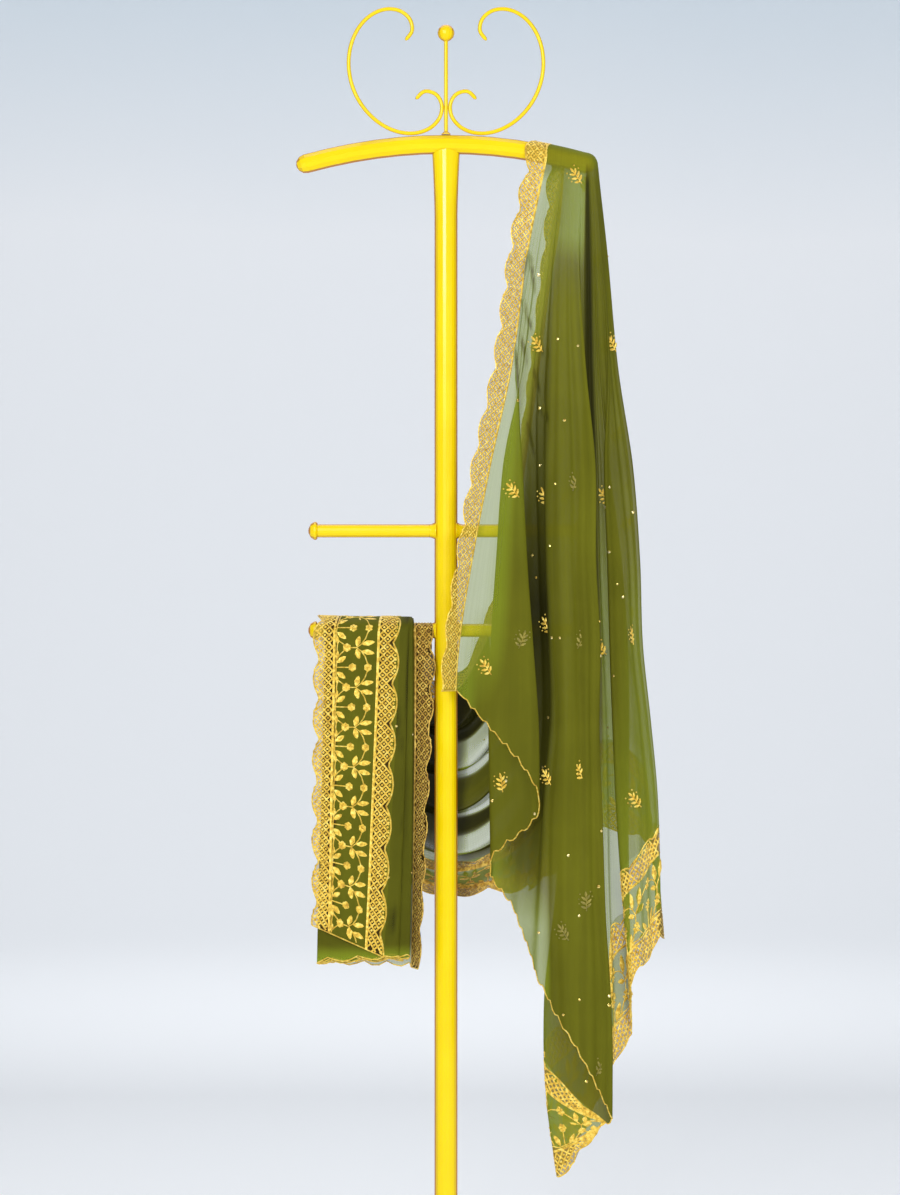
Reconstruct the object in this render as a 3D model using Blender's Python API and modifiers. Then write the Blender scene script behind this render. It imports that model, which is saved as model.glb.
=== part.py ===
# Dupatta stole draped on a display stand. Metres, +Z up, origin on the floor at the foot of the pole.
# The stole hangs over the right end of the bar, swags behind the pole and is folded over the lower left peg.
import bpy
import bmesh
import math
from collections import namedtuple
from mathutils import Vector

# Driving dimensions of the stand
BASE_RADIUS = 0.190
BASE_THICKNESS = 0.008
SOCKET_RADIUS = 0.024
SOCKET_HEIGHT = 0.030
POLE_RADIUS = 0.015
BAR_RADIUS = 0.0125
BAR_HEIGHT = 1.620
BAR_HALF_LENGTH = 0.1945
BAR_DROP = 0.0286
BAR_STEPS = 12
HEAD_WIDTH = 0.0185
HEAD_DEPTH = 0.0105
HEAD_HEIGHT = 0.095
HEAD_RINGS = 4
POLE_SIDES = 24
PEG_RADIUS = 0.0085
PEG_LENGTH = 0.179
PEG_HEIGHTS = {"upper": 1.1176, "lower": 0.9882}
CAP_RADIUS = 0.012
CAP_DEPTH = 0.012
WIRE_RADIUS = 0.0026
SCROLL_LENGTH = 0.40
SCROLL_STEPS = 26
SLOPE_ROOM = 0.0006
BALL_RADIUS = 0.011
STEM_HEIGHT = 0.132
CLEARANCE = 0.0003

# Driving dimensions of the cloth
WALL = 0.0010
SEAM = 0.0008
BEND_SEAM = 0.0020
MOST_PULL = 0.3
SCALLOP_LENGTH = 0.052
SCALLOP_DEPTH = 0.009
BAR_WRAP = BAR_RADIUS + CLEARANCE + 0.0018
PEG_WRAP = PEG_RADIUS + CLEARANCE + 0.0008
STACK = 0.0235
LAYERS = 8.2
TURN = 0.12
BAR_END = 0.182

YELLOW = (0.90, 0.62, 0.02, 1.0)
OLIVE = (0.18, 0.20, 0.03, 1.0)
GOLD = (0.72, 0.52, 0.14, 1.0)


# Interpolation shared by every cloth surface

def hermite(a, b, slope_a, slope_b, t):
    t2 = t * t
    t3 = t2 * t
    return a * (2 * t3 - 3 * t2 + 1) + b * (3 * t2 - 2 * t3) + slope_a * (t3 - 2 * t2 + t) + slope_b * (t3 - t2)


def smooth_through(stations, values, at):
    # A smooth curve through the values at increasing stations, held level beyond both ends.
    last = len(values) - 1
    if at <= stations[0]:
        return values[0]
    if at >= stations[last]:
        return values[last]
    i = max(k for k in range(last) if stations[k] <= at)
    span = stations[i + 1] - stations[i]

    def slope(k):
        low, high = max(k - 1, 0), min(k + 1, last)
        return (values[high] - values[low]) * (span / (stations[high] - stations[low]))

    return hermite(values[i], values[i + 1], slope(i), slope(i + 1), (at - stations[i]) / span)


def spread(first, last, steps):
    return [first + (last - first) * i / steps for i in range(steps + 1)]


def bar_axis(x):
    return BAR_HEIGHT - BAR_DROP * (x / BAR_HALF_LENGTH) ** 2


# Front fall: one row for each fold line, from the narrow band across to the right edge.
# top is where it leaves the bar, seam where the field meets the wide border, hem its lower end,
# high, mid and low how far it stands in front of the bar, turn how roundly it folds back below
# OPEN_HEIGHT, and x its place at each height.
FRONT_HEIGHTS = (1.60, 1.48, 1.33, 1.20, 1.08, 0.97, 0.87, 0.77, 0.64, 0.51, 0.39, 0.27)
FoldLine = namedtuple("FoldLine", "name top seam hem high mid low turn x")
FRONT_FOLDS = (
    FoldLine("band_line", 0.138, 0.911, 0.911, 0.022, 0.026, 0.028, 0,
             (0.131, 0.107, 0.086, 0.058, 0.035, 0.018, 0.012)),
    FoldLine("corner_right", 0.143, 0.770, 0.770, 0.017, 0.035, 0.045, 0.016,
             (0.138, 0.114, 0.094, 0.099, 0.105, 0.113, 0.120, 0.121)),
    FoldLine("corner_left", 0.148, 0.686, 0.686, 0.013, 0.0175, 0.019, 0.01,
             (0.144, 0.123, 0.104, 0.078, 0.068, 0.060, 0.056, 0.056, 0.057)),
    FoldLine("first_gap", 0.153, 0.618, 0.618, 0.0115, 0.0125, 0.014, 0,
             (0.151, 0.134, 0.118, 0.116, 0.118, 0.121, 0.122, 0.112, 0.092)),
    FoldLine("broad_left", 0.157, 0.521, 0.521, 0.020, 0.044, 0.050, 0,
             (0.157, 0.143, 0.136, 0.131, 0.131, 0.135, 0.138, 0.130, 0.127, 0.126)),
    FoldLine("broad_middle", 0.163, 0.456, 0.456, 0.024, 0.056, 0.062, 0,
             (0.165, 0.157, 0.157, 0.160, 0.160, 0.164, 0.165, 0.163, 0.163, 0.164, 0.165)),
    FoldLine("broad_right", 0.166, 0.383, 0.383, 0.023, 0.050, 0.054, 0,
             (0.173, 0.170, 0.178, 0.189, 0.189, 0.194, 0.192, 0.195, 0.198, 0.204, 0.203)),
    FoldLine("tail_right", 0.170, 0.356, 0.356, 0.019, 0.040, 0.044, 0,
             (0.177, 0.175, 0.178, 0.186, 0.186, 0.191, 0.190, 0.192, 0.195, 0.201, 0.205, 0.203)),
    FoldLine("tail_left", 0.173, 0.447, 0.276, 0.017, 0.028, 0.032, 0.010,
             (0.181, 0.179, 0.179, 0.174, 0.168, 0.161, 0.155, 0.148, 0.138, 0.124, 0.127, 0.143)),
    FoldLine("hidden_return", 0.175, 0.521, 0.362, 0.015, 0.017, 0.022, 0,
             (0.183, 0.185, 0.187, 0.190, 0.190, 0.192, 0.192, 0.192, 0.192, 0.198, 0.190)),
    FoldLine("pale_middle", 0.177, 0.605, 0.427, 0.013, 0.011, 0.010, 0,
             (0.186, 0.190, 0.194, 0.200, 0.203, 0.208, 0.212, 0.213, 0.214, 0.218, 0.218)),
    FoldLine("side_right", 0.178, 0.631, 0.462, 0.012, 0.004, 0.002, -0.004,
             (0.189, 0.195, 0.201, 0.213, 0.229, 0.237, 0.239, 0.238, 0.239, 0.242, 0.243)),
    FoldLine("side_left", 0.179, 0.674, 0.525, 0.014, 0.021, 0.024, -0.003,
             (0.191, 0.200, 0.209, 0.204, 0.208, 0.211, 0.214, 0.218, 0.227, 0.239)),
    FoldLine("side_middle", 0.180, 0.708, 0.557, 0.010, 0.016, 0.018, 0,
             (0.194, 0.205, 0.214, 0.224, 0.235, 0.239, 0.247, 0.254, 0.256, 0.260)),
    FoldLine("right_edge", 0.181, 0.737, 0.585, 0.0, 0.0, 0.0, 0,
             (0.197, 0.209, 0.221, 0.239, 0.248, 0.252, 0.263, 0.273, 0.278, 0.279)),
)
LAST_FOLD = len(FRONT_FOLDS) - 1
BORDER_FIRST = 7
TURN_COLUMN = 0.11
DEPTH_HIGH = 1.40
DEPTH_MID = 1.05
OVER_BAR = 0.06
OPEN_HEIGHT = 1.32
OPEN_REACH = 0.16


def front_x(fold, z):
    count = len(fold.x)
    return smooth_through([-h for h in FRONT_HEIGHTS[:count]], fold.x, -z)


def front_y(fold, z, bar_y):
    stations = (-FRONT_HEIGHTS[0], -DEPTH_HIGH, -DEPTH_MID, -min(fold.hem, DEPTH_MID - 0.1))
    return -smooth_through(stations, (bar_y, fold.high, fold.mid, fold.low), -z)


def fold_point(fold, share, border):
    # share runs from the top of the bar to the seam, border from the seam to the hem.
    end = fold.x[0]
    axis = bar_axis(min(end, BAR_END))
    reach = BAR_WRAP if fold.name != "right_edge" else 0.0
    bar_y = math.sqrt(max(reach * reach - max(0.0, end - BAR_END) ** 2, 0.0))
    if share < OVER_BAR and border == 0.0:
        angle = 0.5 * math.pi * share / OVER_BAR
        x = fold.top + (end - fold.top) * math.sin(angle)
        return Vector((x, -bar_y * math.sin(angle), bar_axis(min(x, BAR_END)) + BAR_WRAP * math.cos(angle)))
    if border > 0.0:
        z = fold.seam + (fold.hem - fold.seam) * border
    else:
        z = axis + (fold.seam - axis) * (share - OVER_BAR) / (1.0 - OVER_BAR)
    return Vector((front_x(fold, z), front_y(fold, z, bar_y), z))


def fold_turn(fold, z):
    return Vector((0.0, fold.turn * min(max((OPEN_HEIGHT - z) / OPEN_REACH, 0.0), 1.0), 0.0))


def front_point(column, share, border=0.0):
    i = min(int(column), LAST_FOLD - 1)
    line = [fold_point(FRONT_FOLDS[min(max(k, 0), LAST_FOLD)], share, border) for k in range(i - 1, i + 3)]
    if i == 0:
        line[0] = line[1] * 2 - line[2]
    if i == LAST_FOLD - 1:
        line[3] = Vector((line[1].x, -line[1].y, line[1].z))
    leave = (line[2] - line[0]) * 0.5 + fold_turn(FRONT_FOLDS[i], line[1].z)
    arrive = (line[3] - line[1]) * 0.5 + fold_turn(FRONT_FOLDS[i + 1], line[2].z)
    return hermite(line[1], line[2], leave, arrive, column - i)


# The long sheet from the right edge behind the pole to the folded end over the peg.
# One row for each section: middle is where its folds begin at the narrow band, spread leads from there
# to the wide border, fold is half the depth of a fold, tight is 1 where the folds are pressed flat,
# hood is how much it keeps the curve of the right edge, band and border lead out to the two long edges,
# and crumple is how far the border buckles.
Section = namedtuple("Section", "name middle spread fold tight hood band border crumple")
SECTIONS = (
    Section("bar_back", (0.155, 0.014, 1.602), (0.110, 0.0, -0.863), (0, 0, 0), 0, 1.0,
            (-0.022, 0.006, 0.003), (0.013, 0.002, -0.152), 0),
    Section("high", (0.148, 0.018, 1.511), (0.115, 0.004, -0.730), (0, 0.002, 0), 0, 0.85,
            (-0.020, 0.022, -0.004), (0.009, 0.006, -0.104), 0),
    Section("upper", (0.133, 0.024, 1.417), (0.119, 0.006, -0.597), (0, 0.005, 0), 0, 0.60,
            (-0.014, 0.027, 0.0), (0.007, 0.004, -0.111), 0),
    Section("half", (0.109, 0.031, 1.233), (0.098, 0.006, -0.390), (0, 0.009, 0.002), 0, 0.30,
            (-0.012, 0.028, 0.0), (0.0, 0.004, -0.121), 0),
    Section("lower", (0.090, 0.037, 1.106), (0.065, 0.004, -0.306), (0, 0.013, 0.004), 0, 0.10,
            (-0.010, 0.028, 0.0), (0.006, 0.004, -0.121), 0),
    Section("gather", (0.057, 0.041, 0.976), (0.046, 0.002, -0.247), (0, 0.017, 0.006), 0, 0,
            (-0.008, 0.026, 0.012), (0.006, 0.010, -0.090), -0.006),
    Section("pole_right", (0.025, 0.044, 0.911), (0.032, 0.0, -0.224), (0, 0.019, 0.008), 0, 0,
            (0.0, 0.022, 0.020), (0.0, 0.010, -0.052), -0.014),
    Section("pole", (0.0, 0.045, 0.895), (0.0, 0.0, -0.219), (0, 0.020, 0.010), 0, 0,
            (0.0, 0.020, 0.022), (0.0, 0.012, -0.048), -0.016),
    Section("pole_left", (-0.008, 0.045, 0.893), (-0.052, 0.012, -0.192), (0.002, 0.020, 0.004), 0, 0,
            (0.0, 0.014, 0.026), (-0.010, 0.012, -0.046), -0.014),
    Section("turn", (-0.026, 0.042, 0.890), (-0.083, 0.032, -0.128), (0.008, 0.019, 0.006), 0.1, 0,
            (0.004, 0.006, 0.028), (-0.034, 0.015, -0.040), -0.006),
    Section("rise", (-0.066, 0.034, 0.893), (-0.048, 0.052, -0.042), (0.024, 0.022, 0.010), 0.4, 0,
            (0.012, 0.002, 0.020), (-0.058, 0.010, -0.028), 0),
    Section("under_peg", (-0.090, 0.022, 0.930), (-0.011, 0.042, -0.004), (0.048, 0.012, 0.006), 0.8, 0,
            (0.018, 0.0, 0.010), (-0.086, 0.006, -0.010), 0),
    Section("peg_low", (-0.0975, 0.0145, 0.960), (-0.002, 0.031, 0.0), (0.0560, 0.002, 0.001), 0.97, 0,
            (0.0220, 0.0, 0.003), (-0.101, 0.0040, -0.002), 0),
    Section("peg_back", (-0.0988, PEG_WRAP, 0.9882), (0.0, STACK, 0.0), (0.0572, 0, 0), 1, 0,
            (0.0225, 0.0, 0.0), (-0.1055, 0.0032, 0.0), 0),
)
WRAP_SECTIONS = len(SECTIONS) - 1
PEG_TURN = 3.0
HangRow = namedtuple("HangRow", "name z middle half band_x band_y border_x lean")
HANG_ROWS = (
    HangRow("peg_front", 0.9882, -0.0988, 0.0572, 0.0250, 0.0, -0.1055, 0.0),
    HangRow("below_peg", 0.9500, -0.0990, 0.0575, 0.0290, -0.010, -0.1055, -0.001),
    HangRow("upper_hang", 0.8500, -0.1000, 0.0585, 0.0270, -0.012, -0.1060, -0.002),
    HangRow("middle_hang", 0.7500, -0.1018, 0.0595, 0.0250, -0.013, -0.1060, -0.003),
    HangRow("lower_hang", 0.6500, -0.1040, 0.0605, 0.0235, -0.014, -0.1045, -0.003),
    HangRow("end", 0.5520, -0.1060, 0.0605, 0.0220, -0.015, -0.1030, -0.003),
)
HANG_START = WRAP_SECTIONS + PEG_TURN
SHEET_END = HANG_START + len(HANG_ROWS) - 1
END_SLOPE = 0.008


def zigzag(share, tight, slack):
    # Returns the swing of the folds, from 1 to -1, and the progress across the gathered width.
    layer = share * LAYERS
    index = int(layer)
    part = layer - index
    sign = 1.0 if index % 2 == 0 else -1.0
    if part < TURN:
        angle = 0.5 * math.pi * part / TURN
        flat = 1.0 - slack * (1.0 - math.cos(angle))
        step = 0.5 * math.sin(angle)
    elif part > 1.0 - TURN:
        angle = 0.5 * math.pi * (1.0 - part) / TURN
        flat = -1.0 + slack * (1.0 - math.cos(angle))
        step = 1.0 - 0.5 * math.sin(angle)
    else:
        flat = (1.0 - slack) * (1.0 - 2.0 * (part - TURN) / (1.0 - 2.0 * TURN))
        step = 0.5
    swing = sign * (flat * tight + math.cos(math.pi * part) * (1.0 - tight))
    progress = (index + step) * tight + layer * (1.0 - tight)
    return swing, progress / LAYERS


def hood_line(share):
    # The fold along the top of the bar, round its end and down the right edge.
    edge = FRONT_FOLDS[LAST_FOLD]
    first = FRONT_FOLDS[0].top
    along_bar = edge.top - first
    round_end = 0.5 * math.pi * BAR_WRAP
    down = bar_axis(BAR_END) - edge.seam
    travelled = share * (along_bar + round_end + down)
    if travelled < along_bar:
        x = first + travelled
        return Vector((x, 0.0, bar_axis(x) + BAR_WRAP))
    if travelled < along_bar + round_end:
        return fold_point(edge, OVER_BAR * (travelled - along_bar) / round_end, 0.0)
    return fold_point(edge, OVER_BAR + (1.0 - OVER_BAR) * (travelled - along_bar - round_end) / down, 0.0)


HOOD_STATIONS = (0.0, 0.046, 0.072, 0.15, 1.0)
HOOD_OFFSETS = (Vector((0.017, BAR_WRAP, -BAR_WRAP)), Vector((0.001, BAR_WRAP, -BAR_WRAP)),
                Vector((-0.004, 0.012, -0.010)), Vector((-0.005, 0.014, 0.0)), Vector((-0.004, 0.014, 0.0)))


def hood_back(share, turn=1.0):
    # turn is 0 on the fold itself and 1 a quarter turn behind it.
    offset = smooth_through(HOOD_STATIONS, HOOD_OFFSETS, share)
    angle = 0.5 * math.pi * turn
    round_off = 1.0 - math.cos(angle)
    return hood_line(share) + Vector((offset.x * round_off, offset.y * math.sin(angle), offset.z * round_off))


def section_at(along):
    # All of a section's values at a place along the sheet, between the bar and the peg.
    stations = range(len(SECTIONS))

    def value(field):
        rows = [getattr(row, field) for row in SECTIONS]
        if isinstance(rows[0], tuple):
            rows = [Vector(row) for row in rows]
        return smooth_through(stations, rows, along)

    return Section("between", *(value(field) for field in Section._fields[1:]))


def section_point(section, share):
    swing, progress = zigzag(share, section.tight, 0.5 * STACK / LAYERS / 0.06)
    return section.middle + section.spread * progress + section.fold * swing


def sheet_point(along, share):
    if along <= 0.0:
        return hood_back(share, along + 1.0)
    if along <= WRAP_SECTIONS:
        section = section_at(along)
        point = section_point(section, share)
        if section.hood > 0.0:
            start, end = hood_back(0.0), hood_back(1.0)
            point += (hood_back(share) - start.lerp(end, share)) * section.hood
        return point
    row = hang_at(along)
    swing, progress = zigzag(share, 1.0, 0.5 * STACK / LAYERS / 0.06)
    radius = PEG_WRAP + STACK * progress
    return Vector((row.middle + row.half * swing, 0.0, 0.0)) + hang_offset(along, radius, row, progress)


def hang_at(along):
    stations = range(len(HANG_ROWS))
    place = max(along - HANG_START, 0.0)
    rows = [smooth_through(stations, [row[k] for row in HANG_ROWS], place) for k in range(1, len(HangRow._fields))]
    return HangRow("between", *rows)


def hang_offset(along, radius, row, progress):
    if along < HANG_START:
        angle = math.pi * (along - WRAP_SECTIONS) / PEG_TURN
        return Vector((0.0, radius * math.cos(angle), PEG_HEIGHTS["lower"] + radius * math.sin(angle)))
    drop = (HANG_ROWS[0].z - row.z) / (HANG_ROWS[0].z - HANG_ROWS[-1].z)
    return Vector((0.0, -radius + row.lean, row.z + END_SLOPE * progress * drop))


def band_point(along, out):
    # The narrow band beyond the first long edge of the sheet; out runs from 0 to 1.
    if along <= 0.0:
        turn = 0.5 * math.pi * (along + 1.0)
        top = Vector((FRONT_BAND[0].x, 0.0, bar_axis(0.109) - bar_axis(0.138)))
        back = Vector(SECTIONS[0].band)
        return sheet_point(along, 0.0) + top.lerp(back, math.sin(turn)) * out
    if along <= WRAP_SECTIONS:
        return sheet_point(along, 0.0) + section_at(along).band * out
    row = hang_at(along)
    blend = min(max((along - WRAP_SECTIONS) / PEG_TURN, 0.0), 1.0)
    first = Vector(SECTIONS[-1].band)
    return sheet_point(along, 0.0) + first.lerp(Vector((row.band_x, row.band_y, 0.0)), blend) * out


def border_point(along, out):
    # The wide border beyond the other long edge of the sheet.
    edge = sheet_point(along, 1.0)
    buckle = 0.0
    if along <= 0.0:
        turn = math.sin(0.5 * math.pi * (along + 1.0))
        lead = fold_point(FRONT_FOLDS[LAST_FOLD], 1.0, 1.0) - fold_point(FRONT_FOLDS[LAST_FOLD], 1.0, 0.0)
        lead = lead.lerp(Vector(SECTIONS[0].border), turn)
    elif along <= WRAP_SECTIONS:
        section = section_at(along)
        lead = section.border
        buckle = section.crumple * math.sin(2.0 * math.pi * out)
    else:
        row = hang_at(along)
        radial = STACK / LAYERS + 0.0003
        angle = math.pi * min((along - WRAP_SECTIONS) / PEG_TURN, 1.0)
        lead = Vector((row.border_x, radial * math.cos(angle), radial * math.sin(angle)))
    return edge + lead * out + Vector((0.0, buckle, 0.0))


# The narrow band in front: how far its edge lies from the fold line, to the left and forward.
BandRow = namedtuple("BandRow", "z x y")
FRONT_BAND = (
    BandRow(1.620, -0.029, 0.0),
    BandRow(1.600, -0.027, 0.0),
    BandRow(1.480, -0.026, -0.018),
    BandRow(1.330, -0.022, -0.023),
    BandRow(1.200, -0.023, -0.022),
    BandRow(1.080, -0.018, -0.026),
    BandRow(0.970, -0.014, -0.028),
    BandRow(0.911, -0.010, -0.030),
)


def front_band_point(share, out):
    line = front_point(0, share)
    stations = [-row.z for row in FRONT_BAND]
    x = smooth_through(stations, [row.x for row in FRONT_BAND], -line.z)
    y = smooth_through(stations, [row.y for row in FRONT_BAND], -line.z)
    rise = bar_axis(line.x + x) - bar_axis(line.x) if share <= OVER_BAR else 0.0
    return line + Vector((x, y, rise)) * out


# Meshes and materials

def material(name, colour, roughness, metallic):
    made = bpy.data.materials.new(name)
    made.use_nodes = True
    shader = made.node_tree.nodes["Principled BSDF"]
    shader.inputs["Base Color"].default_value = colour
    shader.inputs["Roughness"].default_value = roughness
    shader.inputs["Metallic"].default_value = metallic
    return made


def add_object(name, mesh, colour, roughness=0.5, metallic=0.0):
    made = bpy.data.objects.new(name, mesh)
    mesh.materials.append(material(name, colour, roughness, metallic))
    bpy.data.collections["dupatta_stole"].objects.link(made)
    return made


def pull_in(rows, gap):
    # Draws the outer rows and columns in by the gap, so that neighbours stay clear at their seams.
    for line in (rows, list(map(list, zip(*rows)))):
        for edge, inner in ((0, 1), (-1, -2)):
            rim = [point.copy() for point in line[edge]]
            for k, point in enumerate(rim):
                step = line[inner][k] - point
                along = (rim[min(k + 1, len(rim) - 1)] - rim[max(k - 1, 0)]).normalized()
                across = (step - along * step.dot(along)).length
                if step.length > 2.0 * gap and across > 0.0:
                    line[edge][k] += step * min(gap / across, MOST_PULL)


def sheet_object(name, rows, colour, gap):
    rows = [[point.copy() for point in row] for row in rows]
    pull_in(rows, 0.5 * gap)
    shell = bmesh.new()
    grid = [[shell.verts.new(point) for point in row] for row in rows]
    for upper, lower in zip(grid, grid[1:]):
        for a, b, c, d in zip(upper, upper[1:], lower[1:], lower):
            shell.faces.new((a, b, c, d))
    bmesh.ops.remove_doubles(shell, verts=shell.verts, dist=0.0001)
    bmesh.ops.recalc_face_normals(shell, faces=shell.faces)
    mesh = bpy.data.meshes.new(name)
    shell.to_mesh(mesh)
    shell.free()
    mesh.shade_smooth()
    made = add_object(name, mesh, colour, 0.75)
    thick = made.modifiers.new("wall", "SOLIDIFY")
    thick.thickness = WALL
    thick.offset = 0.0
    return made


def scalloped(lines, across, depth=SCALLOP_DEPTH):
    # lines(i, out) gives a point; the outer edge is drawn in between the lobes of the scallops.
    count, place = lines
    outer = [place(i, 1.0) for i in range(count)]
    inner = [place(i, 0.0) for i in range(count)]
    travelled = 0.0
    rows = []
    for i in range(count):
        if i:
            travelled += (outer[i] - outer[i - 1]).length
        width = max((outer[i] - inner[i]).length, 0.01)
        lobe = abs(math.sin(math.pi * travelled / SCALLOP_LENGTH)) ** 0.8
        reach = 1.0 - min(depth / width, 0.5) * (1.0 - lobe)
        rows.append([place(i, reach * k / across) for k in range(across + 1)])
    return rows


def turned(name, profile, steps, colour, ring=False):
    # profile runs down the outside as (radius, height); a ring has its last point joined to the first.
    mesh = bpy.data.meshes.new(name)
    edges = [(i, i + 1) for i in range(len(profile) - 1)] + ([(len(profile) - 1, 0)] if ring else [])
    mesh.from_pydata([(r, 0.0, z) for r, z in profile], edges, [])
    made = add_object(name, mesh, colour, 0.22)
    screw = made.modifiers.new("turn", "SCREW")
    screw.steps = screw.render_steps = steps
    screw.use_merge_vertices = True
    screw.merge_threshold = 0.0001
    return made


def wire(name, points, radius, radii=None, resolution=2, colour=YELLOW):
    curve = bpy.data.curves.new(name, "CURVE")
    curve.dimensions = "3D"
    curve.bevel_depth = radius
    curve.bevel_resolution = resolution
    curve.use_fill_caps = True
    line = curve.splines.new("POLY")
    line.points.add(len(points) - 1)
    for i, point in enumerate(points):
        line.points[i].co = (*point, 1.0)
        line.points[i].radius = radii[i] if radii else 1.0
    made = bpy.data.objects.new(name, curve)
    curve.materials.append(material(name, colour, 0.22, 0.0))
    bpy.data.collections["dupatta_stole"].objects.link(made)
    return made


# The stand

def base():
    edge = 0.002
    turned("base", [(0.0, BASE_THICKNESS), (BASE_RADIUS - edge, BASE_THICKNESS),
                    (BASE_RADIUS, BASE_THICKNESS - edge), (BASE_RADIUS, edge),
                    (BASE_RADIUS - edge, 0.0), (0.0, 0.0)], 36, YELLOW)
    bottom = BASE_THICKNESS + CLEARANCE
    bore = POLE_RADIUS + CLEARANCE
    turned("base_socket", [(bore, bottom + SOCKET_HEIGHT), (SOCKET_RADIUS - edge, bottom + SOCKET_HEIGHT),
                           (SOCKET_RADIUS, bottom + SOCKET_HEIGHT - edge), (SOCKET_RADIUS, bottom),
                           (bore, bottom)], 24, YELLOW, ring=True)


def cutter(name, radius, length, location, turn):
    shape = bmesh.new()
    bmesh.ops.create_cone(shape, cap_ends=True, segments=24, radius1=radius, radius2=radius, depth=length)
    mesh = bpy.data.meshes.new(name)
    shape.to_mesh(mesh)
    shape.free()
    made = bpy.data.objects.new(name, mesh)
    made.location = location
    made.rotation_euler = turn
    made.hide_render = True
    made.display_type = "WIRE"
    bpy.data.collections["cutters"].objects.link(made)
    return made


def cut(target, tool):
    saddle = target.modifiers.new("saddle", "BOOLEAN")
    saddle.operation = "DIFFERENCE"
    saddle.solver = "EXACT"
    saddle.object = tool


def pole(bar_cutter):
    # A round tube whose top is pressed oval and saddled to the underside of the bar.
    tube = bmesh.new()
    pressed_from = BAR_HEIGHT - HEAD_HEIGHT
    rings = []
    for height in [BASE_THICKNESS + CLEARANCE] + spread(pressed_from, BAR_HEIGHT - 0.002, HEAD_RINGS):
        pressed = max(0.0, (height - pressed_from) / HEAD_HEIGHT) ** 1.5
        wide = POLE_RADIUS + (HEAD_WIDTH - POLE_RADIUS) * pressed
        deep = POLE_RADIUS + (HEAD_DEPTH - POLE_RADIUS) * pressed
        angles = spread(0.0, 2.0 * math.pi, POLE_SIDES)[:-1]
        rings.append([tube.verts.new((wide * math.cos(a), deep * math.sin(a), height)) for a in angles])
    for lower, upper in zip(rings, rings[1:]):
        for k in range(POLE_SIDES):
            tube.faces.new((lower[k - 1], lower[k], upper[k], upper[k - 1]))
    tube.faces.new(rings[0])
    tube.faces.new(rings[-1])
    bmesh.ops.recalc_face_normals(tube, faces=tube.faces)
    mesh = bpy.data.meshes.new("pole")
    tube.to_mesh(mesh)
    tube.free()
    cut(add_object("pole", mesh, YELLOW, 0.22), bar_cutter)


def bar():
    reach = BAR_HALF_LENGTH - BAR_RADIUS
    xs = spread(-reach, reach, BAR_STEPS)
    ends = [(math.sin(a), 1.0 - math.cos(a)) for a in (math.radians(30), math.radians(60), math.radians(82))]
    points = [(x, 0.0, bar_axis(x)) for x in xs]
    radii = [1.0] * len(xs)
    for along, inset in ends:
        x = reach + BAR_RADIUS * along
        points = [(-x, 0.0, bar_axis(x))] + points + [(x, 0.0, bar_axis(x))]
        radii = [1.0 - inset] + radii + [1.0 - inset]
    wire("bar", points, BAR_RADIUS, radii, 4)


def pegs(pole_cutter):
    rim = 0.002
    for level, height in PEG_HEIGHTS.items():
        for side, sign in (("left", -1), ("right", 1)):
            shaft_end = PEG_LENGTH - CAP_DEPTH
            dome = [(CAP_RADIUS * math.cos(a), shaft_end + rim + (CAP_DEPTH - rim) * math.sin(a))
                    for a in (math.radians(75), math.radians(45), math.radians(15))]
            profile = [(0.0, PEG_LENGTH)] + dome + [(CAP_RADIUS, shaft_end + rim), (CAP_RADIUS - rim, shaft_end),
                                                    (PEG_RADIUS, shaft_end), (PEG_RADIUS, 0.002), (0.0, 0.002)]
            peg = turned(f"peg_{level}_{side}", profile, 16, YELLOW)
            peg.rotation_euler = (0.0, sign * 0.5 * math.pi, 0.0)
            peg.location = (0.0, 0.0, height)
            cut(peg, pole_cutter)


def finial():
    # Two mirrored wire scrolls back to back, and a ball on a stem between them.
    x, z, heading = 0.0, 0.0, 0.0
    points = [(x, z)]
    step = SCROLL_LENGTH / SCROLL_STEPS
    for i in range(SCROLL_STEPS):
        curl = 10.4 + 60.0 * abs((2 * i + 1) / SCROLL_STEPS - 1.0) ** 3
        heading += curl * step
        x += math.cos(heading) * step
        z += math.sin(heading) * step
        points.append((x, z))
    beside = 2.0 * WIRE_RADIUS + CLEARANCE - min(-point[0] for point in points)
    low = min(points, key=lambda point: point[1])
    seat = bar_axis(beside - low[0]) + BAR_RADIUS + CLEARANCE + WIRE_RADIUS + SLOPE_ROOM
    for side, sign in (("left", -1), ("right", 1)):
        wire(f"scroll_{side}", [(sign * (beside - px), 0.0, seat + pz - low[1]) for px, pz in points], WIRE_RADIUS)
    foot = BAR_HEIGHT + BAR_RADIUS + CLEARANCE
    ball = foot + STEM_HEIGHT
    arc = [(BALL_RADIUS * math.sin(a), ball + BALL_RADIUS * math.cos(a))
           for a in (math.radians(d) for d in range(0, 165, 20))]
    turned("finial_ball", [(0.0, arc[0][1])] + arc[1:] + [(WIRE_RADIUS, ball - BALL_RADIUS),
           (WIRE_RADIUS, foot + 0.004), (0.006, foot + 0.001), (0.006, foot), (0.0, foot)], 16, YELLOW)


# The cloth

def edge_strip(name, stations, times, across, place, gap):
    # A strip that follows the same straight facets between the stations as the wall it is sewn to.
    def follow(i, out):
        k = min(i // times, len(stations) - 2)
        return place(stations[k], out).lerp(place(stations[k + 1], out), i / times - k)

    count = (len(stations) - 1) * times + 1
    sheet_object(name, scalloped((count, follow), across), GOLD, gap)


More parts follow.
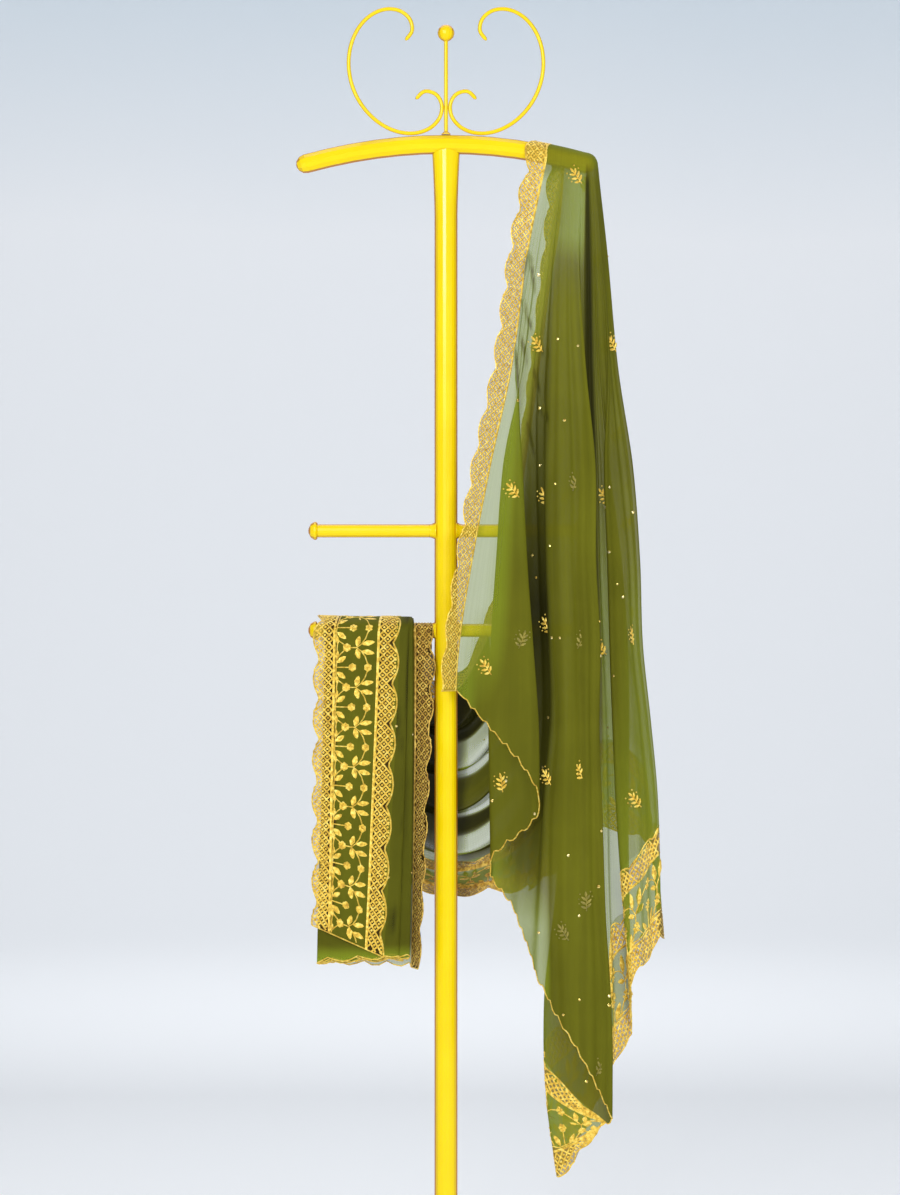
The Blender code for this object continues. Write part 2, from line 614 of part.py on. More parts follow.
def fold_columns():
    # Columns between the fold lines, close on both sides of each tight fold.
    columns = [0.0]
    for i, (fold, following) in enumerate(zip(FRONT_FOLDS, FRONT_FOLDS[1:])):
        near = [TURN_COLUMN] if fold.turn else []
        far = [1.0 - TURN_COLUMN] if following.turn else []
        middle = [0.5] if near or far else [1 / 3, 2 / 3]
        columns += [i + part for part in near + middle + far + [1.0]]
    return columns


def front_cloth():
    columns = fold_columns()
    shares = spread(0.0, OVER_BAR, 3) + spread(OVER_BAR, 1.0, 16)[1:]
    sheet_object("front_fall", [[front_point(c, s) for c in columns] for s in shares], OLIVE, SEAM)
    edge_strip("wide_border_front", [c for c in columns if c >= BORDER_FIRST], 2, 2,
               lambda column, out: front_point(column, 1.0, max(out, 1e-6)), SEAM)
    edge_strip("narrow_band_front", shares, 3, 1, front_band_point, BEND_SEAM)


# Stretches of the long sheet: name, places of its rows, parts to each row at the edges, strips across
# the border, and the gap the border keeps.
Stretch = namedtuple("Stretch", "name places edge_parts across border_gap")
STRETCHES = (
    Stretch("back", spread(-1, 0, 3) + spread(0, 5, 10)[1:], 3, 2, BEND_SEAM),
    Stretch("swag", spread(5, 11, 12), 3, 4, BEND_SEAM),
    Stretch("peg", spread(11, WRAP_SECTIONS, 3) + spread(WRAP_SECTIONS, HANG_START, 6)[1:]
            + spread(HANG_START, SHEET_END, 8)[1:], 3, 2, 0.5 * SEAM),
)


def layer_shares():
    # Places across the sheet, closer in its first layer where it passes round the end of the bar.
    shares = []
    for layer in range(int(LAYERS) + 1):
        parts = (0.0, TURN, 0.5, 1.0 - TURN) if layer else (0.0, TURN, 0.26, 0.39, 0.48, 0.585, 1.0 - TURN)
        shares += [(layer + part) / LAYERS for part in parts if layer + part < LAYERS - 0.01]
    return shares + [1.0]


def long_sheet():
    shares = layer_shares()
    for stretch in STRETCHES:
        sheet_object(f"{stretch.name}_field", [[sheet_point(a, s) for s in shares] for a in stretch.places],
                     OLIVE, SEAM)
        edge_strip(f"narrow_band_{stretch.name}", stretch.places, stretch.edge_parts, 1, band_point, BEND_SEAM)
        edge_strip(f"wide_border_{stretch.name}", stretch.places, stretch.edge_parts, stretch.across,
                   border_point, stretch.border_gap)


def main():
    for item in list(bpy.context.scene.objects):
        bpy.data.objects.remove(item, do_unlink=True)
    for name in ("dupatta_stole", "cutters"):
        bpy.context.scene.collection.children.link(bpy.data.collections.new(name))
    bar_cutter = cutter("bar_cutter", BAR_RADIUS + 0.0005, 0.08, (0, 0, BAR_HEIGHT), (0, 0.5 * math.pi, 0))
    pole_cutter = cutter("pole_cutter", POLE_RADIUS + CLEARANCE, 0.4, (0, 0, 1.05), (0, 0, 0))
    base()
    pole(bar_cutter)
    bar()
    pegs(pole_cutter)
    finial()
    front_cloth()
    long_sheet()


main()
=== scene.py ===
# Dupatta stole on its display stand: sheer olive net, gold thread work and yellow enamel.
import bisect
import bpy
import math
import random
from collections import namedtuple
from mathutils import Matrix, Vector
from mathutils.bvhtree import BVHTree


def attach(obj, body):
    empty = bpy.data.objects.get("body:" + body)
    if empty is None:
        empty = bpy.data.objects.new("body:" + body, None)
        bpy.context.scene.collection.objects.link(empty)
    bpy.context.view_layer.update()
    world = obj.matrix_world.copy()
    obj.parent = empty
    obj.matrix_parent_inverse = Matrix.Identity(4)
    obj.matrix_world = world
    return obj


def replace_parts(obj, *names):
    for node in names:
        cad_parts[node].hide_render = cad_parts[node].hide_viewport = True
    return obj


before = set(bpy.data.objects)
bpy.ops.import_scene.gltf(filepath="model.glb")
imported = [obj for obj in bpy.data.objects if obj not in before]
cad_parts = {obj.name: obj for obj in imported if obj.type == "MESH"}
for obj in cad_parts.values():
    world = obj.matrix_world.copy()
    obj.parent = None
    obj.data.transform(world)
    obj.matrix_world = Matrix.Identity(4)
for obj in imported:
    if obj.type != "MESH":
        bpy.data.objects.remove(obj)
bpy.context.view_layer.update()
print("frame loaded")

# sizes shared with the frame, in metres
stand = {"barRadius": 0.0125, "barHeight": 1.620, "barHalf": 0.1945, "barDrop": 0.0286, "pegRadius": 0.0085,
         "pegHeight": 0.9882, "upperPegHeight": 1.1176, "clearance": 0.0003}
cloth = {"narrow": 0.032, "field": 0.956, "wide": 0.112, "barEnd": 0.182, "overBar": 0.0018, "overPeg": 0.0008,
         "layers": 8.2, "stack": 0.0235, "foldHalf": 0.06, "turn": 0.12, "scallop": 0.052, "scallopDepth": 0.009,
         "endWave": 0.021}
barWrap = stand["barRadius"] + stand["clearance"] + cloth["overBar"]
pegWrap = stand["pegRadius"] + stand["clearance"] + cloth["overPeg"]


def clamped(value):
    return min(max(value, 0.0), 1.0)


def hermite(a, b, slopeA, slopeB, t):
    t2 = t * t
    t3 = t2 * t
    return a * (2 * t3 - 3 * t2 + 1) + b * (3 * t2 - 2 * t3) + slopeA * (t3 - 2 * t2 + t) + slopeB * (t3 - t2)


def smoothThrough(stations, values, at):
    last = len(values) - 1
    if at <= stations[0]:
        return values[0]
    if at >= stations[last]:
        return values[last]
    i = max(k for k in range(last) if stations[k] <= at)
    span = stations[i + 1] - stations[i]

    def slope(k):
        low, high = max(k - 1, 0), min(k + 1, last)
        return (values[high] - values[low]) * (span / (stations[high] - stations[low]))

    return hermite(values[i], values[i + 1], slope(i), slope(i + 1), (at - stations[i]) / span)


def spread(first, last, steps):
    return [first + (last - first) * i / steps for i in range(steps + 1)]


def pick(row, at):
    # the point or number at a fractional place in a row
    i = min(max(int(at), 0), len(row) - 2)
    return row[i] + (row[i + 1] - row[i]) * clamped(at - i)


def barAxis(x):
    return stand["barHeight"] - stand["barDrop"] * (x / stand["barHalf"]) ** 2


# front fall: a row for each fold line, from the narrow band to the right edge
frontHeights = (1.60, 1.48, 1.33, 1.20, 1.08, 0.97, 0.87, 0.77, 0.64, 0.51, 0.39, 0.27)
FoldLine = namedtuple("FoldLine", "name top seam hem high mid low turn x")
frontFolds = (
    FoldLine("band_line", 0.138, 0.911, 0.911, 0.022, 0.026, 0.028, 0,
             (0.131, 0.107, 0.086, 0.058, 0.035, 0.018, 0.012)),
    FoldLine("corner_right", 0.143, 0.770, 0.770, 0.017, 0.035, 0.045, 0.016,
             (0.138, 0.114, 0.094, 0.099, 0.105, 0.113, 0.120, 0.121)),
    FoldLine("corner_left", 0.148, 0.686, 0.686, 0.013, 0.0175, 0.019, 0.01,
             (0.144, 0.123, 0.104, 0.078, 0.068, 0.060, 0.056, 0.056, 0.057)),
    FoldLine("first_gap", 0.153, 0.618, 0.618, 0.0115, 0.0125, 0.014, 0,
             (0.151, 0.134, 0.118, 0.116, 0.118, 0.121, 0.122, 0.112, 0.092)),
    FoldLine("broad_left", 0.157, 0.521, 0.521, 0.020, 0.044, 0.050, 0,
             (0.157, 0.143, 0.136, 0.131, 0.131, 0.135, 0.138, 0.130, 0.127, 0.126)),
    FoldLine("broad_middle", 0.163, 0.456, 0.456, 0.024, 0.056, 0.062, 0,
             (0.165, 0.157, 0.157, 0.160, 0.160, 0.164, 0.165, 0.163, 0.163, 0.164, 0.165)),
    FoldLine("broad_right", 0.166, 0.383, 0.383, 0.023, 0.050, 0.054, 0,
             (0.173, 0.170, 0.178, 0.189, 0.189, 0.194, 0.192, 0.195, 0.198, 0.204, 0.203)),
    FoldLine("tail_right", 0.170, 0.356, 0.356, 0.019, 0.040, 0.044, 0,
             (0.177, 0.175, 0.178, 0.186, 0.186, 0.191, 0.190, 0.192, 0.195, 0.201, 0.205, 0.203)),
    FoldLine("tail_left", 0.173, 0.447, 0.276, 0.017, 0.028, 0.032, 0.010,
             (0.181, 0.179, 0.179, 0.174, 0.168, 0.161, 0.155, 0.148, 0.138, 0.124, 0.127, 0.143)),
    FoldLine("hidden_return", 0.175, 0.521, 0.362, 0.015, 0.017, 0.022, 0,
             (0.183, 0.185, 0.187, 0.190, 0.190, 0.192, 0.192, 0.192, 0.192, 0.198, 0.190)),
    FoldLine("pale_middle", 0.177, 0.605, 0.427, 0.013, 0.011, 0.010, 0,
             (0.186, 0.190, 0.194, 0.200, 0.203, 0.208, 0.212, 0.213, 0.214, 0.218, 0.218)),
    FoldLine("side_right", 0.178, 0.631, 0.462, 0.012, 0.004, 0.002, -0.004,
             (0.189, 0.195, 0.201, 0.213, 0.229, 0.237, 0.239, 0.238, 0.239, 0.242, 0.243)),
    FoldLine("side_left", 0.179, 0.674, 0.525, 0.014, 0.021, 0.024, -0.003,
             (0.191, 0.200, 0.209, 0.204, 0.208, 0.211, 0.214, 0.218, 0.227, 0.239)),
    FoldLine("side_middle", 0.180, 0.708, 0.557, 0.010, 0.016, 0.018, 0,
             (0.194, 0.205, 0.214, 0.224, 0.235, 0.239, 0.247, 0.254, 0.256, 0.260)),
    FoldLine("right_edge", 0.181, 0.737, 0.585, 0.0, 0.0, 0.0, 0,
             (0.197, 0.209, 0.221, 0.239, 0.248, 0.252, 0.263, 0.273, 0.278, 0.279)),
)
lastFold = len(frontFolds) - 1
borderFirst = 7  # the wide border starts at this fold
drape = {"depthHigh": 1.40, "depthMid": 1.05, "lowest": 0.95, "overBar": 0.06, "openHeight": 1.32, "openReach": 0.16}


def frontX(fold, z):
    return smoothThrough([-h for h in frontHeights[:len(fold.x)]], fold.x, -z)


def frontY(fold, z, barY):
    low = min(fold.hem, drape["lowest"])
    stations = (-frontHeights[0], -drape["depthHigh"], -drape["depthMid"], -low)
    return -smoothThrough(stations, (barY, fold.high, fold.mid, fold.low), -z)


def foldPoint(fold, share, border):
    end = fold.x[0]
    axis = barAxis(min(end, cloth["barEnd"]))
    reach = barWrap if fold.name != "right_edge" else 0.0
    barY = math.sqrt(max(reach * reach - max(0.0, end - cloth["barEnd"]) ** 2, 0.0))
    if share < drape["overBar"] and border == 0.0:
        angle = 0.5 * math.pi * share / drape["overBar"]
        x = fold.top + (end - fold.top) * math.sin(angle)
        return Vector((x, -barY * math.sin(angle), barAxis(min(x, cloth["barEnd"])) + barWrap * math.cos(angle)))
    if border > 0.0:
        z = fold.seam + (fold.hem - fold.seam) * border
    else:
        z = axis + (fold.seam - axis) * (share - drape["overBar"]) / (1.0 - drape["overBar"])
    return Vector((frontX(fold, z), frontY(fold, z, barY), z))


def foldTurn(fold, z):
    opened = clamped((drape["openHeight"] - z) / drape["openReach"])
    return Vector((0.0, fold.turn * opened, 0.0))


def frontRow(columns, share, border=0.0):
    places = [foldPoint(fold, share, border) for fold in frontFolds]
    turns = [foldTurn(fold, place.z) for fold, place in zip(frontFolds, places)]
    row = []
    for column in columns:
        i = min(int(column), lastFold - 1)
        before = places[i - 1] if i else places[0] * 2 - places[1]
        mirrored = Vector((places[i].x, -places[i].y, places[i].z))
        after = places[i + 2] if i < lastFold - 1 else mirrored
        leave = (places[i + 1] - before) * 0.5 + turns[i]
        arrive = (after - places[i]) * 0.5 + turns[i + 1]
        row.append(hermite(places[i], places[i + 1], leave, arrive, column - i))
    return row


# the rest of the length: from behind the bar, past the pole's back, over the peg and down
Section = namedtuple("Section", "name middle spread fold tight hood band border crumple")
sections = (
    Section("bar_back", (0.155, 0.014, 1.602), (0.110, 0.0, -0.863), (0, 0, 0), 0, 1.0,
            (-0.022, 0.006, 0.003), (0.013, 0.002, -0.152), 0),
    Section("high", (0.148, 0.018, 1.511), (0.115, 0.004, -0.730), (0, 0.002, 0), 0, 0.85,
            (-0.020, 0.022, -0.004), (0.009, 0.006, -0.104), 0),
    Section("upper", (0.133, 0.024, 1.417), (0.119, 0.006, -0.597), (0, 0.005, 0), 0, 0.60,
            (-0.014, 0.027, 0.0), (0.007, 0.004, -0.111), 0),
    Section("half", (0.109, 0.031, 1.233), (0.098, 0.006, -0.390), (0, 0.009, 0.002), 0, 0.30,
            (-0.012, 0.028, 0.0), (0.0, 0.004, -0.121), 0),
    Section("lower", (0.090, 0.037, 1.106), (0.065, 0.004, -0.306), (0, 0.013, 0.004), 0, 0.10,
            (-0.010, 0.028, 0.0), (0.006, 0.004, -0.121), 0),
    Section("gather", (0.057, 0.041, 0.976), (0.046, 0.002, -0.247), (0, 0.017, 0.006), 0, 0,
            (-0.008, 0.026, 0.012), (0.006, 0.010, -0.090), -0.006),
    Section("pole_right", (0.025, 0.044, 0.911), (0.032, 0.0, -0.224), (0, 0.019, 0.008), 0, 0,
            (0.0, 0.022, 0.020), (0.0, 0.010, -0.052), -0.014),
    Section("pole", (0.0, 0.045, 0.895), (0.0, 0.0, -0.219), (0, 0.020, 0.010), 0, 0,
            (0.0, 0.020, 0.022), (0.0, 0.012, -0.048), -0.016),
    Section("pole_left", (-0.008, 0.045, 0.893), (-0.052, 0.012, -0.192), (0.002, 0.020, 0.004), 0, 0,
            (0.0, 0.014, 0.026), (-0.010, 0.012, -0.046), -0.014),
    Section("turn", (-0.026, 0.042, 0.890), (-0.083, 0.032, -0.128), (0.008, 0.019, 0.006), 0.1, 0,
            (0.004, 0.006, 0.028), (-0.034, 0.015, -0.040), -0.006),
    Section("rise", (-0.066, 0.034, 0.893), (-0.048, 0.052, -0.042), (0.024, 0.022, 0.010), 0.4, 0,
            (0.012, 0.002, 0.020), (-0.058, 0.010, -0.028), 0),
    Section("under_peg", (-0.090, 0.022, 0.930), (-0.011, 0.042, -0.004), (0.048, 0.012, 0.006), 0.8, 0,
            (0.018, 0.0, 0.010), (-0.086, 0.006, -0.010), 0),
    Section("peg_low", (-0.0975, 0.0145, 0.960), (-0.002, 0.031, 0.0), (0.0560, 0.002, 0.001), 0.97, 0,
            (0.0220, 0.0, 0.003), (-0.101, 0.0040, -0.002), 0),
    Section("peg_back", (-0.0988, pegWrap, 0.9882), (0.0, cloth["stack"], 0.0), (0.0572, 0, 0), 1, 0,
            (0.0225, 0.0, 0.0), (-0.1055, 0.0032, 0.0), 0),
)
wrapSections = len(sections) - 1
pegTurn = 3.0
HangRow = namedtuple("HangRow", "name z middle half bandX bandY borderX lean")
hangRows = (
    HangRow("peg_front", 0.9882, -0.0988, 0.0572, 0.0250, 0.0, -0.1055, 0.0),
    HangRow("below_peg", 0.9500, -0.0990, 0.0575, 0.0290, -0.010, -0.1055, -0.001),
    HangRow("upper_hang", 0.8500, -0.1000, 0.0585, 0.0270, -0.012, -0.1060, -0.002),
    HangRow("middle_hang", 0.7500, -0.1018, 0.0595, 0.0250, -0.013, -0.1060, -0.003),
    HangRow("lower_hang", 0.6500, -0.1040, 0.0605, 0.0235, -0.014, -0.1045, -0.003),
    HangRow("end", 0.5520, -0.1060, 0.0605, 0.0220, -0.015, -0.1030, -0.003),
)
hangStart = wrapSections + pegTurn
sheetEnd = hangStart + len(hangRows) - 1


def zigzag(share, tight, slack, uneven=0.0):
    layer = share * cloth["layers"]
    index = int(layer)
    part = layer - index
    sign = 1.0 if index % 2 == 0 else -1.0
    turn = cloth["turn"]
    if part < turn:
        angle = 0.5 * math.pi * part / turn
        flat = 1.0 - slack * (1.0 - math.cos(angle))
        step = 0.5 * math.sin(angle)
    elif part > 1.0 - turn:
        angle = 0.5 * math.pi * (1.0 - part) / turn
        flat = -1.0 + slack * (1.0 - math.cos(angle))
        step = 1.0 - 0.5 * math.sin(angle)
    else:
        flat = (1.0 - slack) * (1.0 - 2.0 * (part - turn) / (1.0 - 2.0 * turn))
        step = 0.5
    swing = sign * (flat * tight + math.cos(math.pi * part) * (1.0 - tight))
    progress = (index + step) * tight + layer * (1.0 - tight)
    return swing * (1.0 - uneven), progress / cloth["layers"]


def hoodLine(share):
    edge = frontFolds[lastFold]
    first = frontFolds[0].top
    alongBar = edge.top - first
    roundEnd = 0.5 * math.pi * barWrap
    down = barAxis(cloth["barEnd"]) - edge.seam
    travelled = share * (alongBar + roundEnd + down)
    over = drape["overBar"]
    if travelled < alongBar:
        return Vector((first + travelled, 0.0, barAxis(first + travelled) + barWrap))
    if travelled < alongBar + roundEnd:
        return foldPoint(edge, over * (travelled - alongBar) / roundEnd, 0.0)
    return foldPoint(edge, over + (1.0 - over) * (travelled - alongBar - roundEnd) / down, 0.0)


hoodStations = (0.0, 0.046, 0.072, 0.15, 1.0)
hoodOffsets = (Vector((0.017, barWrap, -barWrap)), Vector((0.001, barWrap, -barWrap)),
               Vector((-0.004, 0.012, -0.010)), Vector((-0.005, 0.014, 0.0)), Vector((-0.004, 0.014, 0.0)))


def hoodBack(share, turn=1.0):
    offset = smoothThrough(hoodStations, hoodOffsets, share)
    angle = 0.5 * math.pi * turn
    roundOff = 1.0 - math.cos(angle)
    return hoodLine(share) + Vector((offset.x * roundOff, offset.y * math.sin(angle), offset.z * roundOff))


def sectionAt(along):
    stations = range(len(sections))

    def value(field):
        rows = [getattr(row, field) for row in sections]
        if isinstance(rows[0], tuple):
            rows = [Vector(row) for row in rows]
        return smoothThrough(stations, rows, along)

    return Section("between", *(value(field) for field in Section._fields[1:]))


def hangAt(along):
    stations = range(len(hangRows))
    place = max(along - hangStart, 0.0)
    rows = [smoothThrough(stations, [row[k] for row in hangRows], place) for k in range(1, len(HangRow._fields))]
    return HangRow("between", *rows)


frontBandHeights = (1.620, 1.600, 1.480, 1.330, 1.200, 1.080, 0.970, 0.911)
frontBandX = (-0.029, -0.028, -0.027, -0.027, -0.026, -0.023, -0.021, -0.022)
frontBandY = (0.0, 0.0, -0.018, -0.023, -0.022, -0.026, -0.028, -0.030)
pegLook = {"lean": 0.016, "leanFrom": 7.6, "leanOver": 0.6, "pressed": 0.36, "endRise": 0.008,
           "steps": (0.0, 0.0, 0.05, 0.0, 0.16, 0.0, 0.02, 0.0, 0.10),  # how far each fold falls short
           "ends": (0.000, 0.004, 0.010, 0.002, 0.006, 0.000, 0.008, 0.000, 0.008, 0.003),
           "bandTurn": 0.44, "bandBack": 0.016, "borderRise": 0.042, "borderIn": 0.006, "borderGap": 0.0003}
foldSlack = 0.5 * cloth["stack"] / cloth["layers"] / cloth["foldHalf"]
gather = {"uneven": 0.22, "bandSteps": 8, "borderSteps": 26}
layerDraw = random.Random(11)
layerUneven = [layerDraw.random() for _ in range(12)]  # how shallow each gathered fold is


def sheetRow(along, shares, outs, borders):
    # one whole row of the length: narrow band, field, wide border
    if along <= 0.0:
        turn = 0.5 * math.pi * (along + 1.0)
        middle = [hoodBack(share, along + 1.0) for share in shares]
        start = frontFolds[0].top
        top = Vector((frontBandX[0], 0.0, barAxis(start + frontBandX[0]) - barAxis(start)))
        bandLead = top.lerp(Vector(sections[0].band), math.sin(turn))
        edge = frontFolds[lastFold]
        borderLead = foldPoint(edge, 1.0, 1.0) - foldPoint(edge, 1.0, 0.0)
        borderLead = borderLead.lerp(Vector(sections[0].border), math.sin(turn))
        buckle = 0.0
    elif along <= wrapSections:
        section = sectionAt(along)
        start, end = hoodBack(0.0), hoodBack(1.0)
        middle = []
        for share in shares:
            layer = share * cloth["layers"]
            fade = gather["uneven"] * (1.0 - section.tight) * math.sin(math.pi * min(layer, 1.0) / 2)
            fade *= min(1.0, (1.0 - share) * cloth["layers"])
            swing, progress = zigzag(share, section.tight, foldSlack, fade * layerUneven[int(layer + 0.5)])
            point = section.middle + section.spread * progress + section.fold * swing
            if section.hood > 0.0:
                point = point + (hoodBack(share) - start.lerp(end, share)) * section.hood
            middle.append(point)
        bandLead, borderLead, buckle = section.band, section.border, section.crumple
    else:
        hang = hangAt(along)
        settle = min((along - wrapSections) / pegTurn, 1.0)
        angle = math.pi * settle
        drop = max(0.0, (hangRows[0].z - hang.z) / (hangRows[0].z - hangRows[-1].z))
        middle = []
        for share in shares:
            swing, progress = zigzag(share, 1.0, foldSlack)
            radius = pegWrap + cloth["stack"] * progress
            x = hang.middle + hang.half * swing
            layer = share * cloth["layers"]
            if layer > pegLook["leanFrom"]:
                x -= pegLook["lean"] * drop * (layer - pegLook["leanFrom"]) / pegLook["leanOver"]
            x -= hang.half * pegLook["steps"][min(int(layer + 0.5), 8)] * max(swing, 0.0) * settle
            if along < hangStart:
                above = pegWrap + cloth["stack"] * progress * pegLook["pressed"]
                middle.append(Vector((x, radius * math.cos(angle), stand["pegHeight"] + above * math.sin(angle))))
            else:
                rise = pegLook["endRise"] * progress + pick(pegLook["ends"], layer)
                middle.append(Vector((x, -radius + hang.lean, hang.z + rise * drop)))
        hanging = Vector((hang.bandX * (1.0 - pegLook["bandTurn"] * drop),
                          hang.bandY - pegLook["bandBack"] * drop, 0.0))
        bandLead = Vector(sections[-1].band).lerp(hanging, settle)
        radial = cloth["stack"] / cloth["layers"] + pegLook["borderGap"]
        borderLead = Vector((hang.borderX + (pegLook["lean"] * drop - pegLook["borderIn"]) * settle,
                             radial * math.cos(angle),
                             radial * pegLook["pressed"] * math.sin(angle) + pegLook["borderRise"] * drop ** 2))
        buckle = 0.0
    row = [middle[0] + bandLead * out for out in outs] + middle
    row += [middle[-1] + borderLead * out + Vector((0.0, buckle * math.sin(2.0 * math.pi * out), 0.0))
            for out in borders]
    return row


def gridNormals(rows):
    normals = []
    for i, row in enumerate(rows):
        above, below = rows[max(i - 1, 0)], rows[min(i + 1, len(rows) - 1)]
        line = []
        for j in range(len(row)):
            across = row[min(j + 1, len(row) - 1)] - row[max(j - 1, 0)]
            normal = across.cross(below[j] - above[j])
            line.append(normal.normalized() if normal.length > 1e-12 else Vector((0, -1, 0)))
        normals.append(line)
    return normals


gathering = {"most": 8.0, "dense": 2.7, "shadedFrom": 1.5, "shadedOver": 2.0}  # in layers of net


def makeMesh(name, points, faces, material, uvs=None, gathered=None, smooth=True):
    mesh = bpy.data.meshes.new(name)
    mesh.from_pydata([tuple(p) for p in points], [], faces)
    if gathered:
        layer = mesh.color_attributes.new("gathered", "FLOAT_COLOR", "POINT")
        for item, (layers, shaded, lace) in zip(layer.data, gathered):
            # the painted shade fades out where only one sheer layer lies
            shaded *= clamped((layers - gathering["shadedFrom"]) / gathering["shadedOver"])
            item.color = (layers / gathering["most"], shaded, lace, 1.0)
    if uvs:
        layer = mesh.uv_layers.new(name="cut")
        for loop in mesh.loops:
            layer.data[loop.index].uv = uvs[loop.vertex_index]
    if smooth:
        mesh.shade_smooth()
    made = bpy.data.objects.new(name, mesh)
    made.data.materials.append(material)
    bpy.context.scene.collection.objects.link(made)
    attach(made, "root")
    return made


def runLengths(line):
    total = [0.0]
    for a, b in zip(line, line[1:]):
        total.append(total[-1] + (b - a).length)
    return total


def clothPiece(name, rows, material, gatheredAt):
    # a single sheet over a grid; its uv is the flat cut in metres, and gatheredAt says how many
    # layers lie together at a place, how much painted shade they get and how much is lace
    middle = len(rows[0]) // 2
    downs = runLengths([row[middle] for row in rows])
    acrosses = runLengths(rows[len(rows) // 2])
    wide = len(rows[0])
    points = [p for row in rows for p in row]
    uvs = [(acrosses[j], downs[i]) for i in range(len(rows)) for j in range(wide)]
    faces = []
    for i in range(len(rows) - 1):
        for j in range(wide - 1):
            a = i * wide + j
            b = a + wide
            if max((points[a] - points[b]).length, (points[a + 1] - points[b + 1]).length) > 1e-5:
                faces.append((a, a + 1, b + 1, b))
    gathered = [gatheredAt(i / (len(rows) - 1), j / (wide - 1), point) for i, row in enumerate(rows)
                for j, point in enumerate(row)]
    return makeMesh(name, points, faces, material, uvs, gathered)


def nodeMaterial(name, colour, roughness, metallic=0.0):
    made = bpy.data.materials.new(name)
    made.use_nodes = True
    shader = made.node_tree.nodes["Principled BSDF"]
    shader.inputs["Base Color"].default_value = (*colour, 1.0)
    shader.inputs["Roughness"].default_value = roughness
    shader.inputs["Metallic"].default_value = metallic
    return made, made.node_tree, shader


def addNode(tree, kind, **values):
    made = tree.nodes.new(kind)
    for name, value in values.items():
        if name in made.inputs:
            made.inputs[name].default_value = value
        else:
            setattr(made, name, value)
    return made


def colourRamp(tree, source, stops):
    ramp = addNode(tree, "ShaderNodeValToRGB")
    while len(ramp.color_ramp.elements) < len(stops):
        ramp.color_ramp.elements.new(0.5)
    for element, (place, colour) in zip(ramp.color_ramp.elements, stops):
        element.position = place
        element.color = (*colour, 1.0)
    tree.links.new(source, ramp.inputs["Fac"])
    return ramp


netLook = {"dark": (0.090, 0.088, 0.0035), "light": (0.138, 0.138, 0.0065), "shadow": (0.012, 0.011, 0.0008),
           "single": (0.212, 0.268, 0.016), "lace": (0.32, 0.22, 0.045), "laceDark": (0.046, 0.025, 0.003),
           "cover": 0.44, "singleCover": 0.58, "laceCover": -0.06, "weaveMean": 0.04, "weaveDeep": 0.06,
           "steepest": 0.42, "uneven": 0.24, "weaveSize": 98.0, "cloudSize": 9.0, "streaks": (55.0, 2.5, 1.0),
           "sheen": (0.75, 0.72, 0.25), "roughness": 0.70}


def mathNode(tree, operation, *inputs, clamp=False):
    made = addNode(tree, "ShaderNodeMath", operation=operation, use_clamp=clamp)
    for socket, value in zip(made.inputs, inputs):
        if isinstance(value, (int, float)):
            socket.default_value = value
        else:
            tree.links.new(value, socket)
    return made.outputs["Value"]


def mixed(tree, factor, first, second):
    mix = addNode(tree, "ShaderNodeMix", data_type="RGBA")
    tree.links.new(factor, mix.inputs["Factor"])
    for place, colour in ((6, first), (7, second)):
        if isinstance(colour, tuple):
            mix.inputs[place].default_value = (*colour, 1.0)
        else:
            tree.links.new(colour, mix.inputs[place])
    return mix.outputs[2]


